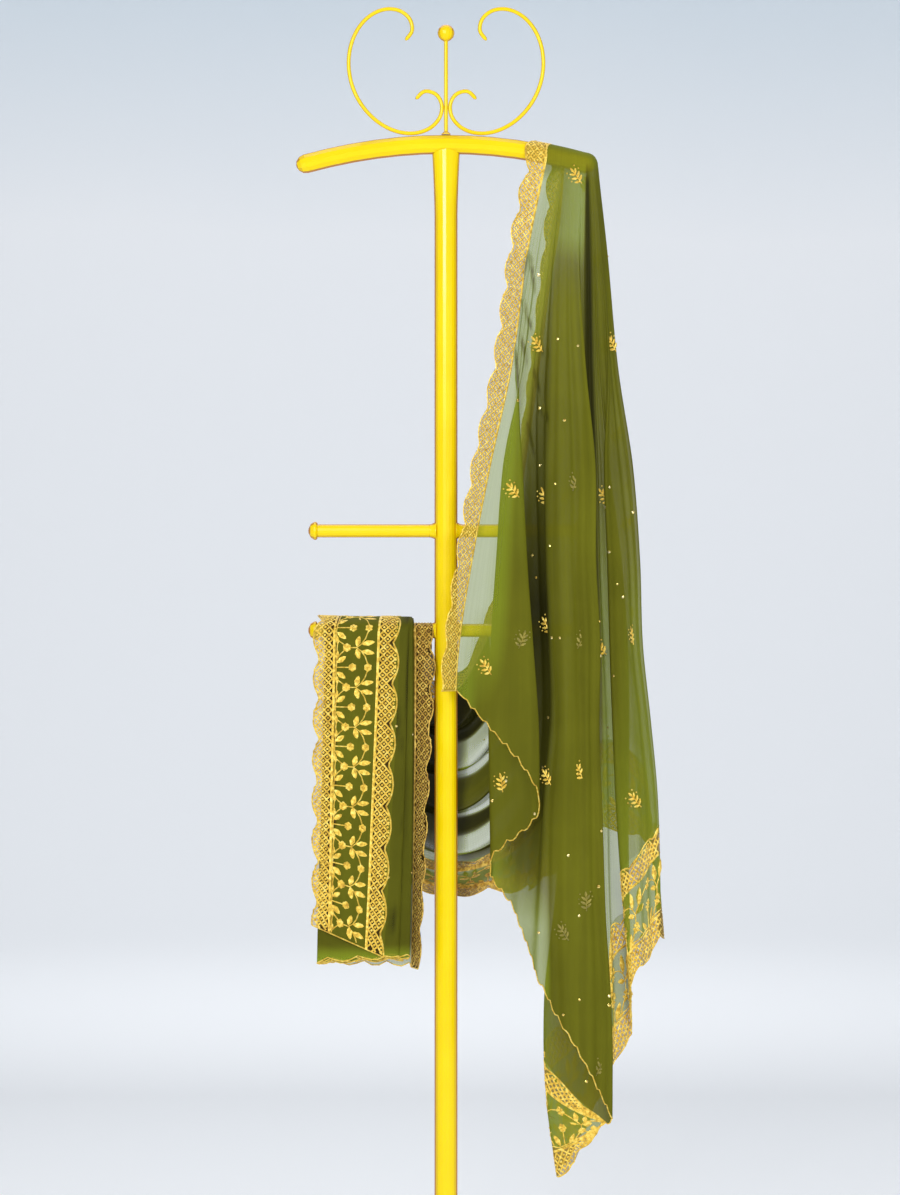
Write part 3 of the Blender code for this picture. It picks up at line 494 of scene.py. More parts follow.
def netMaterial(name, look):
    # sheer net: each layer's threads cover part of what is behind, and more where the cloth is edge on
    made, tree, shader = nodeMaterial(name, look["dark"], look["roughness"])
    where = addNode(tree, "ShaderNodeTexCoord")
    cloud = addNode(tree, "ShaderNodeTexNoise", Scale=look["cloudSize"], Detail=3.0)
    tree.links.new(where.outputs["Object"], cloud.inputs["Vector"])
    streak = addNode(tree, "ShaderNodeTexNoise", Scale=1.0, Detail=2.0)
    stretch = addNode(tree, "ShaderNodeMapping")
    stretch.inputs["Scale"].default_value = look["streaks"]
    tree.links.new(where.outputs["UV"], stretch.inputs["Vector"])
    tree.links.new(stretch.outputs["Vector"], streak.inputs["Vector"])
    tone = mathNode(tree, "MULTIPLY", mathNode(tree, "ADD", cloud.outputs["Fac"], streak.outputs["Fac"]), 0.5)
    ramp = colourRamp(tree, tone, [(0.32, look["dark"]), (0.68, look["light"])])
    gathered = addNode(tree, "ShaderNodeAttribute", attribute_name="gathered")
    parts = addNode(tree, "ShaderNodeSeparateColor")
    tree.links.new(gathered.outputs["Color"], parts.inputs["Color"])
    layers = mathNode(tree, "MULTIPLY", parts.outputs["Red"], gathering["most"])
    dense = mathNode(tree, "DIVIDE", mathNode(tree, "SUBTRACT", layers, 1.0), gathering["dense"], clamp=True)
    colour = mixed(tree, dense, look["single"], ramp.outputs["Color"])
    colour = mixed(tree, parts.outputs["Blue"], colour, mixed(tree, dense, look["lace"], look["laceDark"]))
    # painted shade: the green channel darkens the colour towards the shadow colour in deep gaps between folds
    tree.links.new(mixed(tree, parts.outputs["Green"], colour, look["shadow"]), shader.inputs["Base Color"])
    threads = []
    for direction in ("X", "Y"):  # fine crossing threads
        wave = addNode(tree, "ShaderNodeTexWave", Scale=look["weaveSize"], Distortion=0.4, bands_direction=direction)
        tree.links.new(where.outputs["UV"], wave.inputs["Vector"])
        threads.append(wave.outputs["Fac"])
    weave = mathNode(tree, "MAXIMUM", *threads)
    bump = addNode(tree, "ShaderNodeBump", Strength=0.25, Distance=0.0002)
    tree.links.new(weave, bump.inputs["Height"])
    tree.links.new(bump.outputs["Normal"], shader.inputs["Normal"])
    edge = addNode(tree, "ShaderNodeLayerWeight", Blend=0.5)
    facing = mathNode(tree, "MAXIMUM", mathNode(tree, "SUBTRACT", 1.0, edge.outputs["Facing"]), look["steepest"])
    uneven = mathNode(tree, "MULTIPLY_ADD", streak.outputs["Fac"], look["uneven"], 1.0 - 0.5 * look["uneven"])
    depth = mathNode(tree, "DIVIDE", mathNode(tree, "MULTIPLY", layers, uneven), facing)
    cover = mathNode(tree, "MULTIPLY_ADD", dense, look["cover"] - look["singleCover"],
                     look["singleCover"] - look["weaveMean"])
    cover = mathNode(tree, "MULTIPLY_ADD", parts.outputs["Blue"], look["laceCover"], cover)
    gap = mathNode(tree, "SUBTRACT", 1.0, mathNode(tree, "MULTIPLY_ADD", weave, look["weaveDeep"], cover))
    tree.links.new(mathNode(tree, "SUBTRACT", 1.0, mathNode(tree, "POWER", gap, depth), clamp=True),
                   shader.inputs["Alpha"])
    shader.inputs["Sheen Weight"].default_value = 0.05
    shader.inputs["Sheen Roughness"].default_value = 0.4
    shader.inputs["Sheen Tint"].default_value = (*look["sheen"], 1.0)
    shader.inputs["Specular IOR Level"].default_value = 0.08
    return made


goldLook = {"shade": (0.50, 0.29, 0.020), "body": (0.84, 0.55, 0.050), "bright": (1.0, 0.78, 0.17),
            "roughness": 0.40, "spots": 240.0, "strands": 420.0}


def goldMaterial(name, look, metallic):
    # twisted gold thread: fine slanting strands, uneven from stitch to stitch
    made, tree, shader = nodeMaterial(name, look["body"], look["roughness"], metallic)
    where = addNode(tree, "ShaderNodeTexCoord")
    tone = addNode(tree, "ShaderNodeTexNoise", Scale=look["spots"], Detail=2.0)
    tree.links.new(where.outputs["Object"], tone.inputs["Vector"])
    stops = [(0.30, look["shade"]), (0.5, look["body"]), (0.68, look["bright"])]
    ramp = colourRamp(tree, tone.outputs["Fac"], stops)
    tree.links.new(ramp.outputs["Color"], shader.inputs["Base Color"])
    strands = addNode(tree, "ShaderNodeTexWave", Scale=look["strands"], Distortion=1.5, bands_direction="DIAGONAL")
    tree.links.new(where.outputs["Object"], strands.inputs["Vector"])
    bump = addNode(tree, "ShaderNodeBump", Strength=0.5, Distance=0.0003)
    tree.links.new(strands.outputs["Fac"], bump.inputs["Height"])
    tree.links.new(bump.outputs["Normal"], shader.inputs["Normal"])
    shader.inputs["Sheen Weight"].default_value = 0.2
    return made


enamelLook = {"body": (0.90, 0.67, 0.002), "shade": (0.86, 0.62, 0.001), "rim": (0.52, 0.20, 0.0), "roughness": 0.22,
              "paintedRimSlope": 3.8, "paintedRimFrom": -1.30, "drift": 14.0, "peel": 420.0, "smoothest": 0.16, "dullest": 0.30}


def enamelMaterial(name, look):
    # yellow enamel: a little orange peel, slow colour drift and a painted shade rim, darker orange where a rod turns
    # away from the view
    made, tree, shader = nodeMaterial(name, look["body"], look["roughness"])
    where = addNode(tree, "ShaderNodeTexCoord")
    drift = addNode(tree, "ShaderNodeTexNoise", Scale=look["drift"], Detail=3.0)
    tree.links.new(where.outputs["Object"], drift.inputs["Vector"])
    ramp = colourRamp(tree, drift.outputs["Fac"], [(0.35, look["shade"]), (0.65, look["body"])])
    edge = addNode(tree, "ShaderNodeLayerWeight", Blend=0.5)
    # painted shade: Layer Weight mixes the rim colour into the base colour towards the outline
    rim = mathNode(tree, "MULTIPLY_ADD", edge.outputs["Facing"], look["paintedRimSlope"], look["paintedRimFrom"], clamp=True)
    tree.links.new(mixed(tree, rim, ramp.outputs["Color"], look["rim"]), shader.inputs["Base Color"])
    peel = addNode(tree, "ShaderNodeTexNoise", Scale=look["peel"], Detail=1.0)
    tree.links.new(where.outputs["Object"], peel.inputs["Vector"])
    bump = addNode(tree, "ShaderNodeBump", Strength=0.12, Distance=0.0004)
    tree.links.new(peel.outputs["Fac"], bump.inputs["Height"])
    tree.links.new(bump.outputs["Normal"], shader.inputs["Normal"])
    shine = addNode(tree, "ShaderNodeMapRange")
    shine.inputs["To Min"].default_value = look["smoothest"]
    shine.inputs["To Max"].default_value = look["dullest"]
    tree.links.new(drift.outputs["Fac"], shine.inputs["Value"])
    tree.links.new(shine.outputs["Result"], shader.inputs["Roughness"])
    shader.inputs["Specular IOR Level"].default_value = 0.22
    shader.inputs["Coat Weight"].default_value = 0.08
    shader.inputs["Coat Roughness"].default_value = 0.08
    return made


sheerNet = netMaterial("sheer olive net", netLook)
laceGround = netMaterial("embroidered net ground", dict(netLook, light=(0.13, 0.13, 0.006)))
goldThread = goldMaterial("gold thread", goldLook, 0.3)
sequinGold = goldMaterial("gold sequin", dict(
    goldLook, body=(0.9, 0.68, 0.18), bright=(1.0, 0.88, 0.5), roughness=0.2), 0.8)
# a copy of the gold thread darkened with painted shade, for the stretches away from the front
shadedThread = goldMaterial("gold thread with painted shade", dict(
    goldLook, shade=(0.26, 0.13, 0.010), body=(0.52, 0.31, 0.030), bright=(0.80, 0.56, 0.10)), 0.3)
veiledThread = goldMaterial("gold thread under net", dict(
    goldLook, shade=(0.15, 0.13, 0.010), body=(0.24, 0.20, 0.018), bright=(0.36, 0.29, 0.04)), 0.1)
enamel = enamelMaterial("yellow enamel", enamelLook)
# the plate is flat, so it gets no painted shade rim
plateEnamel = enamelMaterial("yellow enamel plate", dict(enamelLook, paintedRimSlope=0.0, paintedRimFrom=0.0))
print("materials made")

# front fall: fine lengthwise creases on top of the large folds
creases = {"deep": 0.0020, "perFold": 2.3, "from": 1.56, "over": 0.35, "steps": 11, "cornerFolds": 4,
           "stepsAtCorner": 26, "rows": 120, "borderRows": 22, "bandSteps": 8}
creaseDraw = random.Random(5)
creaseWaves = [(creases["perFold"] * (0.55 + 0.5 * k), creaseDraw.uniform(0, 6.28), creaseDraw.uniform(-2.2, 2.2),
                creaseDraw.uniform(1.5, 4.0), 1.0 / (1 + 0.6 * k)) for k in range(4)]


# short slanting crumples of the loose single layer: middle, half its run across and down, and depth
Crumple = namedtuple("Crumple", "x z across down deep")
crumples = tuple(Crumple(*row) for row in (
    (0.112, 1.452, -0.004, 0.030, 0.0040), (0.106, 1.395, -0.008, 0.026, 0.0045),
    (0.104, 1.462, 0.003, 0.018, 0.0030), (0.092, 1.328, -0.002, 0.034, 0.0035),
    (0.125, 1.350, -0.010, 0.006, 0.0025), (0.126, 1.270, -0.010, 0.012, 0.0040),
    (0.118, 1.310, -0.006, 0.022, 0.0030), (0.101, 1.352, -0.006, 0.020, 0.0030),
    (0.110, 1.235, -0.006, 0.026, 0.0030)))
crumpleHalf = 0.0017


def crumpled(point, size):
    total = 0.0
    for row in crumples:
        long = math.hypot(row.across, row.down)
        x, z = point.x - row.x, point.z - row.z
        along = (x * row.across + z * row.down) / long / long
        off = (x * row.down - z * row.across) / long / crumpleHalf
        if abs(along) < 1.0 and abs(off) < 3.0:
            total += (row.deep if size else 1.0) * (1.0 - along * along) * math.exp(-off * off)
    return total


def frontCrease(column, point):
    # deeper lower down, and none where the cloth is pulled over the bar
    z = point.z
    fall = clamped((creases["from"] - z) / creases["over"])
    wave = sum(size * math.sin(math.pi * often * column + phase + lean * z + 0.7 * math.sin(bend * z + phase))
               for often, phase, lean, bend, size in creaseWaves)
    small = crumpled(point, True) if column < creases["cornerFolds"] else 0.0
    return creases["deep"] * fall * wave * clamped(column / 0.6) + small


def lobe(distance):
    return abs(math.sin(math.pi * distance / cloth["scallop"])) ** 0.8


def pressed(rows, first, depthAt):
    # moves each point along its own normal; depthAt gives the move
    normals = gridNormals(rows)
    return [[p + n * depthAt(i, j, p) if j >= first else p for j, (p, n) in enumerate(zip(row, line))]
            for i, (row, line) in enumerate(zip(rows, normals))]


frontShares = spread(0.0, drape["overBar"], 5) + spread(drape["overBar"], 1.0, creases["rows"])[1:]
corner = creases["cornerFolds"]  # these folds have finer columns
frontColumns = spread(0.0, corner, corner * creases["stepsAtCorner"])
frontColumns += spread(corner, lastFold, (lastFold - corner) * creases["steps"])[1:]
bandOuts = spread(1.0, 0.0, creases["bandSteps"])[:-1]
borderColumn = corner * creases["stepsAtCorner"] + (borderFirst - corner) * creases["steps"]


def frontBandPoints(line, share):
    x = smoothThrough([-h for h in frontBandHeights], frontBandX, -line.z)
    y = smoothThrough([-h for h in frontBandHeights], frontBandY, -line.z)
    rise = barAxis(line.x + x) - barAxis(line.x) if share <= drape["overBar"] else 0.0
    return [line + Vector((x, y, rise)) * out for out in bandOuts]


frontGrid = []
for share in frontShares:
    row = frontRow(frontColumns, share)
    frontGrid.append(frontBandPoints(row[0], share) + row)
for border in spread(0.0, 1.0, creases["borderRows"])[1:]:
    row = frontRow(frontColumns, 1.0, border)
    frontGrid.append(frontGrid[len(frontShares) - 1][:len(bandOuts)] + row)
bandCount = len(bandOuts)
frontGrid = pressed(frontGrid, bandCount, lambda i, j, p: frontCrease(frontColumns[j - bandCount], p))
frontField = [row[bandCount:] for row in frontGrid[:len(frontShares)]]
frontBand = [row[:bandCount + 1] for row in frontGrid[:len(frontShares)]]
frontBorder = [[row[bandCount + j] for row in frontGrid[len(frontShares) - 1:]]
               for j in range(borderColumn, len(frontColumns))]  # one row per column, going out to the hem


def scallopStrip(rows, depth):
    # draws the outer edge of a strip in between its lobes; column 0 is the inner edge
    travelled = runLengths([row[-1] for row in rows])
    made, reaches = [], []
    for row, distance in zip(rows, travelled):
        width = max(runLengths(row)[-1], 0.01)
        reaches.append(1.0 - min(depth / width, 0.5) * (1.0 - lobe(distance)))
        made.append([pick(row, reaches[-1] * j) for j in range(len(row))])
    return {"rows": made, "reaches": reaches}


def scallopEnd(rows, lastColumn, depth, apart):
    # the cut end of a field is overlocked, so it waves in short steps
    travelled = runLengths(rows[-1])
    columns = [list(column) for column in zip(*rows)]
    for j in range(lastColumn + 1):
        wave = abs(math.sin(math.pi * travelled[j] / apart + 0.8 * math.sin(travelled[j] * 17.0)))
        ease = min(1.0, 0.5 * j, 0.5 * (lastColumn - j) if lastColumn < len(columns) - 1 else 1.0)
        reach = 1.0 - ease * depth / max(runLengths(columns[j])[-1], 0.05) * (1.0 - wave)
        columns[j] = [pick(columns[j], reach * i) for i in range(len(rows))]
    return [list(row) for row in zip(*columns)]


frontField = scallopEnd(frontField, borderColumn, 0.0065, cloth["endWave"])
frontBand = scallopStrip([list(reversed(row)) for row in frontBand], cloth["scallopDepth"])
frontBorder = scallopStrip(frontBorder, cloth["scallopDepth"])

# the rest of the length in three stretches: first and last station and steps of each
sheetSteps = {"perLayer": 16, "wrinkle": 0.00066,
              "back": (-1.0, 5.0, 96), "swag": (5.0, 11.0, 84), "peg": (11.0, sheetEnd, 110)}
sheetShares = spread(0.0, 1.0, int(cloth["layers"] * sheetSteps["perLayer"]))
sheetOuts = spread(1.0, 0.0, gather["bandSteps"])[:-1]
borderOuts = spread(0.0, 1.0, gather["borderSteps"])[1:]
wrinkleDraw = random.Random(23)
wrinkles = [(wrinkleDraw.uniform(2.0, 9.0), wrinkleDraw.uniform(1.0, 3.5), wrinkleDraw.uniform(0, 6.28))
            for _ in range(6)]
sheetPieces = {}
for stretch in ("back", "swag", "peg"):
    start, end, steps = sheetSteps[stretch]
    alongs = spread(start, end, steps)
    rows = [sheetRow(along, sheetShares, sheetOuts, borderOuts) for along in alongs]

    def wrinkleDepth(i, j, p, alongs=alongs, wide=len(sheetShares)):
        along = alongs[i]
        loose = clamped(along / 1.5) * min(max((wrapSections - 1.0 - along) / 2.0, 0.15), 1.0)
        share = (j - len(sheetOuts)) / wide
        wave = sum(math.sin(a * 2 * math.pi * share + b * along + c) for a, b, c in wrinkles)
        return sheetSteps["wrinkle"] * loose * wave

    rows = pressed(rows, len(sheetOuts), wrinkleDepth)
    band = [list(reversed(row[:len(sheetOuts) + 1])) for row in rows]
    field = [row[len(sheetOuts):len(sheetOuts) + len(sheetShares)] for row in rows]
    border = [row[len(sheetOuts) + len(sheetShares) - 1:] for row in rows]
    if stretch == "peg":
        field = scallopEnd(field, len(sheetShares) - 1, 0.004, 1.7 * cloth["endWave"])
    sheetPieces[stretch] = {"field": field, "band": scallopStrip(band, cloth["scallopDepth"]),
                            "border": scallopStrip(border, cloth["scallopDepth"])}
sheetPieces["front"] = {"field": frontField, "band": frontBand, "border": frontBorder}

# how many layers lie together and how much painted shade they get, read between rows and heights
frontLook = {"atBar": 1.57, "barOver": 0.02, "barLayers": 3.0, "crumpleLayers": 2.5, "crumpleShade": 0.3}
frontStations = (1.50, 1.41, 1.02, 0.72, 0.61)
FrontGathered = namedtuple("FrontGathered", "fold layers shaded")  # at each of the stations
# shaded is painted shade, deepest in the gap beside the broad pleat and in the gap behind the tail
frontGathered = tuple(FrontGathered(*row) for row in (
    (0.0, (1.0, 1.0, 1.0, 1.0, 1.0), (0, 0, 0, 0, 0)),
    (0.10, (1.0, 1.0, 1.0, 2.0, 2.0), (0, 0, 0, 0, 0)),
    (0.22, (1.0, 1.0, 1.0, 7.0, 7.0), (0, 0, 0, 0, 0)),
    (0.35, (1.0, 1.0, 1.4, 7.0, 7.0), (0, 0, 0, 0, 0)),
    (0.55, (1.0, 1.2, 4.0, 5.0, 5.0), (0, 0, 0, 0, 0)),
    (1.0, (1.2, 1.5, 4.0, 4.5, 4.5), (0, 0, 0, 0, 0)),
    (2.0, (1.2, 1.4, 4.0, 4.0, 4.0), (0, 0, 0.1, 0.1, 0)),
    (2.4, (1.2, 1.2, 2.0, 2.0, 2.0), (0, 0, 0.3, 0.2, 0)),
    (2.75, (1.4, 1.6, 8.0, 4.0, 1.6), (0, 0, 0.92, 0.5, 0)),
    (3.0, (1.8, 2.0, 8.0, 5.0, 1.5), (0, 0.1, 0.97, 0.5, 0)),
    (3.3, (2.2, 3.0, 8.0, 5.0, 1.4), (0, 0.2, 0.98, 0.5, 0)),
    (3.85, (2.4, 4.0, 8.0, 6.0, 1.6), (0, 0.2, 0.95, 0.4, 0)),
    (4.1, (2.6, 6.0, 6.0, 6.0, 2.6), (0, 0, 0.1, 0.1, 0)),
    (4.5, (2.4, 6.0, 7.0, 7.0, 6.0), (0, 0, 0, 0, 0)),
    (5.5, (2.0, 6.5, 7.0, 7.0, 7.0), (0, 0, 0, 0, 0)),
    (6.5, (1.7, 6.0, 7.0, 7.0, 7.0), (0, 0, 0, 0, 0)),
    (7.2, (1.9, 5.0, 6.0, 5.0, 5.0), (0, 0.2, 0.2, 0.1, 0)),
    (8.0, (2.4, 6.0, 6.0, 2.4, 2.4), (0.1, 0.6, 0.5, 0, 0)),
    (8.4, (8.0, 7.5, 7.0, 1.2, 1.2), (0.8, 0.85, 0.7, 0, 0)),
    (9.0, (8.0, 8.0, 8.0, 1.2, 1.2), (0.9, 0.95, 0.85, 0, 0)),
    (9.35, (8.0, 8.0, 7.0, 1.0, 1.0), (0.8, 0.9, 0.7, 0, 0)),
    (9.6, (7.0, 6.0, 2.8, 1.0, 1.0), (0.5, 0.5, 0, 0, 0)),
    (10.0, (6.0, 6.0, 2.2, 1.0, 1.0), (0.2, 0.2, 0, 0, 0)),
    (10.5, (6.0, 6.0, 2.3, 1.0, 1.0), (0.1, 0.1, 0, 0, 0)),
    (10.8, (6.0, 7.0, 5.0, 1.4, 1.4), (0.1, 0.2, 0.1, 0, 0)),
    (11.4, (6.0, 7.0, 6.0, 2.4, 2.4), (0.1, 0.2, 0.1, 0, 0)),
    (12.2, (6.0, 7.0, 4.6, 2.6, 2.6), (0.2, 0.2, 0.1, 0, 0)),
    (13.0, (6.0, 6.0, 3.2, 2.4, 2.4), (0.1, 0.1, 0, 0, 0)),
    (14.0, (6.0, 6.0, 2.9, 2.2, 2.2), (0.1, 0.1, 0, 0, 0))))
SwagGathered = namedtuple("SwagGathered", "place right left shadedRight shadedLeft")
# shadedRight and shadedLeft are painted shade for the deep folds right and left of the pole
swagGathered = tuple(SwagGathered(*row) for row in (
    (0.0, 8.0, 8.0, 0.92, 0.97), (0.275, 8.0, 8.0, 0.90, 0.97),
    (0.288, 0.8, 8.0, 0.0, 0.97), (0.405, 0.7, 8.0, 0.0, 0.97),
    (0.415, 5.0, 8.0, 0.8, 0.97), (0.430, 0.7, 8.0, 0.0, 0.97),
    (0.505, 0.8, 8.0, 0.0, 0.97), (0.520, 7.0, 8.0, 0.10, 0.97),
    (0.605, 8.0, 8.0, 0.30, 0.96), (0.630, 8.0, 8.0, 0.80, 0.96),
    (0.640, 0.7, 8.0, 0.0, 0.9), (0.745, 0.7, 8.0, 0.0, 0.9),
    (0.757, 8.0, 7.0, 0.85, 0.85), (0.790, 8.0, 5.0, 0.85, 0.8),
    (0.802, 0.7, 4.0, 0.0, 0.7), (0.905, 0.7, 3.0, 0.0, 0.5),
    (0.918, 7.0, 2.4, 0.75, 0.4), (0.97, 6.0, 2.0, 0.6, 0.2),
    (1.0, 3.0, 1.6, 0.3, 0.1)))


def tablePlace(table, at):
    i = max((k for k in range(len(table) - 1) if table[k][0] <= at), default=0)
    return i, clamped((at - table[i][0]) / (table[i + 1][0] - table[i][0]))


def readTable(table, at, field):
    i, part = tablePlace(table, at)
    low, high = getattr(table[i], field), getattr(table[i + 1], field)
    return low + (high - low) * part


def frontLayers(down, across, point):
    fold = frontColumns[round(across * (len(frontColumns) - 1))]
    i, part = tablePlace(frontGathered, fold)
    k = min(max((k for k, z in enumerate(frontStations) if z >= point.z), default=0), len(frontStations) - 2)
    at = k + clamped((frontStations[k] - point.z) / (frontStations[k] - frontStations[k + 1]))
    layers, shaded = (pick(getattr(frontGathered[i], name), at) * (1.0 - part)
                      + pick(getattr(frontGathered[i + 1], name), at) * part for name in ("layers", "shaded"))
    if fold < corner:
        layers += frontLook["crumpleLayers"] * crumpled(point, False)
        # painted shade darkens the crumples
        shaded += frontLook["crumpleShade"] * crumpled(point, False)
    bunched = clamped((point.z - frontLook["atBar"]) / frontLook["barOver"])
    return layers + (frontLook["barLayers"] - layers) * bunched, shaded * (1.0 - bunched), 0.0


swagTurn = {"from": 0.03, "over": 0.04}  # behind the pole the folds close up and the painted shade deepens


def swagLayers(down, across, point):
    left = clamped((swagTurn["from"] - point.x) / swagTurn["over"])
    names = ("right", "left", "shadedRight", "shadedLeft")
    right, closed, shadedRight, shadedLeft = [readTable(swagGathered, across, name) for name in names]
    return right + (closed - right) * left, shadedRight + (shadedLeft - shadedRight) * left, 0.0


PegCreaseShade = namedtuple("PegCreaseShade", "x lean half dark")  # painted shade lines standing in for slender upright folds beside the border
pegCreaseShades = (PegCreaseShade(-0.0625, 0.012, 0.0012, 0.75), PegCreaseShade(-0.0555, 0.004, 0.0009, 0.55),
              PegCreaseShade(-0.0490, 0.010, 0.0016, 0.85), PegCreaseShade(-0.0425, -0.002, 0.0010, 0.70))

pegShade = {"layers": 4.0, "shaded": 0.34, "openFrom": 0.585, "openOver": 0.02}


def pegLayers(down, across, point):
    # folds of the bundle lie close together under painted shade, darker along painted upright crease lines, and the
    # cut end opens into one layer without it
    opened = clamped((pegShade["openFrom"] - point.z) / pegShade["openOver"])
    shaded = pegShade["shaded"]
    for row in pegCreaseShades:
        off = (point.x - row.x - row.lean * (point.z - stand["pegHeight"])) / row.half
        shaded = max(shaded, row.dark * math.exp(-off * off))
    return pegShade["layers"] - (pegShade["layers"] - 1.0) * opened, shaded * (1.0 - opened), 0.0


# across the wide border, from its inner edge: the vine's strip and where the lace and the loose edge start
vine = {"repeat": 0.0520, "low": 0.0290, "high": 0.0835, "groundFrom": 0.0050, "edgeFrom": 0.097}
fades = {"lace": 0.002, "ground": 0.003, "edge": 0.004}


def narrowLayers(layers, shaded):
    return lambda down, across, point: (layers, shaded, 1.0)


def wideLayers(layers, shaded, edgeLayers=None):
    def read(down, across, point):
        out = across * cloth["wide"]
        lace = 1.0 if out > vine["high"] else clamped((vine["low"] - out) / fades["lace"])
        lace *= clamped((out - vine["groundFrom"]) / fades["ground"])
        outer = clamped((out - vine["edgeFrom"]) / fades["edge"]) if edgeLayers else 0.0
        return layers + ((edgeLayers or layers) - layers) * outer, shaded * (1.0 - outer), lace
    return read


def evenLayers(layers, shaded):
    return lambda down, across, point: (layers, shaded, 0.0)


# each strip's layers, painted shade and lace
gatherings = {("front", "field"): frontLayers, ("front", "band"): narrowLayers(1.0, 0.0),
              ("front", "border"): wideLayers(1.8, 0.0), ("back", "field"): evenLayers(1.0, 0.0),
              ("back", "band"): narrowLayers(2.0, 0.3), ("back", "border"): wideLayers(2.4, 0.2),
              ("swag", "field"): swagLayers, ("swag", "band"): narrowLayers(3.0, 0.5),
              ("swag", "border"): wideLayers(2.2, 0.1), ("peg", "field"): pegLayers,
              ("peg", "band"): narrowLayers(6.0, 0.3), ("peg", "border"): wideLayers(5.0, 0.1, 1.0)}
labels = {"field": "net", "band": "narrow_band", "border": "wide_border"}
shells = {}
for stretch, parts in sheetPieces.items():
    for part, strip in parts.items():
        rows = strip if part == "field" else strip["rows"]
        ground = sheerNet if part == "field" else laceGround
        made = clothPiece(f"{stretch}_{labels[part]}", rows, ground, gatherings[stretch, part])
        node = f"{labels[part]}_{stretch}"
        if part == "field":
            node = "front_fall" if stretch == "front" else f"{stretch}_field"
        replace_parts(made, node)
        made.visible_shadow = False  # sheer net hardly shades the layers behind it
        shells[stretch, part] = made
        area = sum(face.area for face in made.data.polygons)
        print(f"{made.name}: {area:.3f} square metres, {len(made.data.polygons)} faces")
print("cloth shells made")

# embroidery: every thread is a closed, slightly raised strand laid on the cloth
thread = {"lift": 0.0006, "piped": 0.0009, "line": 0.0033, "lattice": 0.0022, "period": 0.0104, "inset": 0.0006,
          "piping": 0.0022, "endPiping": 0.0016, "endPiped": 0.0008, "stem": 0.0015, "step": 0.0045}
knot = {"size": 0.0017, "lift": 0.0010, "inset": 0.002}


class Stitches:
    def __init__(self):
        self.points, self.faces = [], []

    def strand(self, path, width, lift):
        # path holds (point, normal); the section is a flat diamond
        if len(path) < 2:
            return
        first = len(self.points)
        for i, (point, normal) in enumerate(path):
            along = path[min(i + 1, len(path) - 1)][0] - path[max(i - 1, 0)][0]
            side = along.cross(normal)
            side = side.normalized() * (0.5 * width) if side.length > 1e-12 else Vector((0.5 * width, 0, 0))
            self.points += [point - side, point + normal * lift, point + side, point - normal * lift]
        for i in range(len(path) - 1):
            a = first + 4 * i
            self.faces += [(a + k, a + (k + 1) % 4, a + 4 + (k + 1) % 4, a + 4 + k) for k in range(4)]
        last = first + 4 * (len(path) - 1)
        self.faces += [(first + 3, first + 2, first + 1, first), (last, last + 1, last + 2, last + 3)]

    def leaf(self, base, tip, normal, width, lift, full=0.45):
        # a padded satin-stitch leaf, widest at full
        along = tip - base
        side = along.cross(normal)
        if side.length < 1e-12:
            return
        side = side.normalized() * (0.5 * width)
        middle = base + along * full
        a = len(self.points)
        self.points += [base, middle - side, tip, middle + side, middle + normal * lift, middle - normal * lift,
                        base + along * 0.15 - side * 0.5, base + along * 0.15 + side * 0.5,
                        base + along * 0.85 - side * 0.55, base + along * 0.85 + side * 0.55]
        rim = [a, a + 6, a + 1, a + 8, a + 2, a + 9, a + 3, a + 7]
        for k in range(8):
            self.faces += [(rim[k], rim[(k + 1) % 8], a + 4), (rim[(k + 1) % 8], rim[k], a + 5)]

    def dot(self, centre, normal, across, size, lift):
        # a round knot or sequin
        side = across - normal * across.dot(normal)
        side = side.normalized() if side.length > 1e-9 else Vector((1, 0, 0))
        other = normal.cross(side)
        a = len(self.points)
        self.points += [centre + (side * math.cos(t) + other * math.sin(t)) * size
                        for t in spread(0.0, 2 * math.pi, 6)[:-1]]
        self.points += [centre + normal * lift, centre - normal * lift]
        for k in range(6):
            self.faces += [(a + k, a + (k + 1) % 6, a + 6), (a + (k + 1) % 6, a + k, a + 7)]

    def make(self, name, material, slot):
        made = makeMesh(name, self.points, self.faces, material, smooth=False)
        print(f"{name}: {sum(len(face) - 2 for face in self.faces)} triangles")


def stripPlace(strip, width):
    # place(along, out) gives a point and normal on the strip in metres, and edgeOut(along) its scalloped edge
    rows, reaches = strip["rows"], strip["reaches"]
    last = len(rows[0]) - 1
    runs = runLengths([row[last // 2] for row in rows])

    def place(along, out):
        i = min(bisect.bisect_right(runs, along) - 1, len(rows) - 2)
        i = max(i, 0)
        part = clamped((along - runs[i]) / max(runs[i + 1] - runs[i], 1e-9))
        reach = reaches[i] + (reaches[i + 1] - reaches[i]) * part
        at = clamped(out / width / reach) * last
        above, below = pick(rows[i], at), pick(rows[i + 1], at)
        step = 0.5 if at < last - 0.5 else -0.5
        across = pick(rows[i], at + step) - above
        normal = across.cross(rows[i + 1][int(at)] - rows[i][int(at)]) * (1.0 if step > 0 else -1.0)
        normal = normal.normalized() if normal.length > 1e-14 else Vector((0, -1, 0))
        return above.lerp(below, part), normal

    def edgeOut(along):
        i = max(min(bisect.bisect_right(runs, along) - 1, len(rows) - 2), 0)
        return reaches[i] * width

    return place, runs[-1], edgeOut


def lineAlong(stitches, place, length, outAt, width, lift=thread["lift"]):
    count = max(int(length / thread["step"]), 2)
    stitches.strand([place(length * i / count, outAt(length * i / count)) for i in range(count + 1)], width, lift)


innerEdge = {"out": 0.0090, "deep": 0.0085, "shift": 0.026}


def innerScallop(along):
    return innerEdge["out"] - innerEdge["deep"] * lobe(along + innerEdge["shift"])


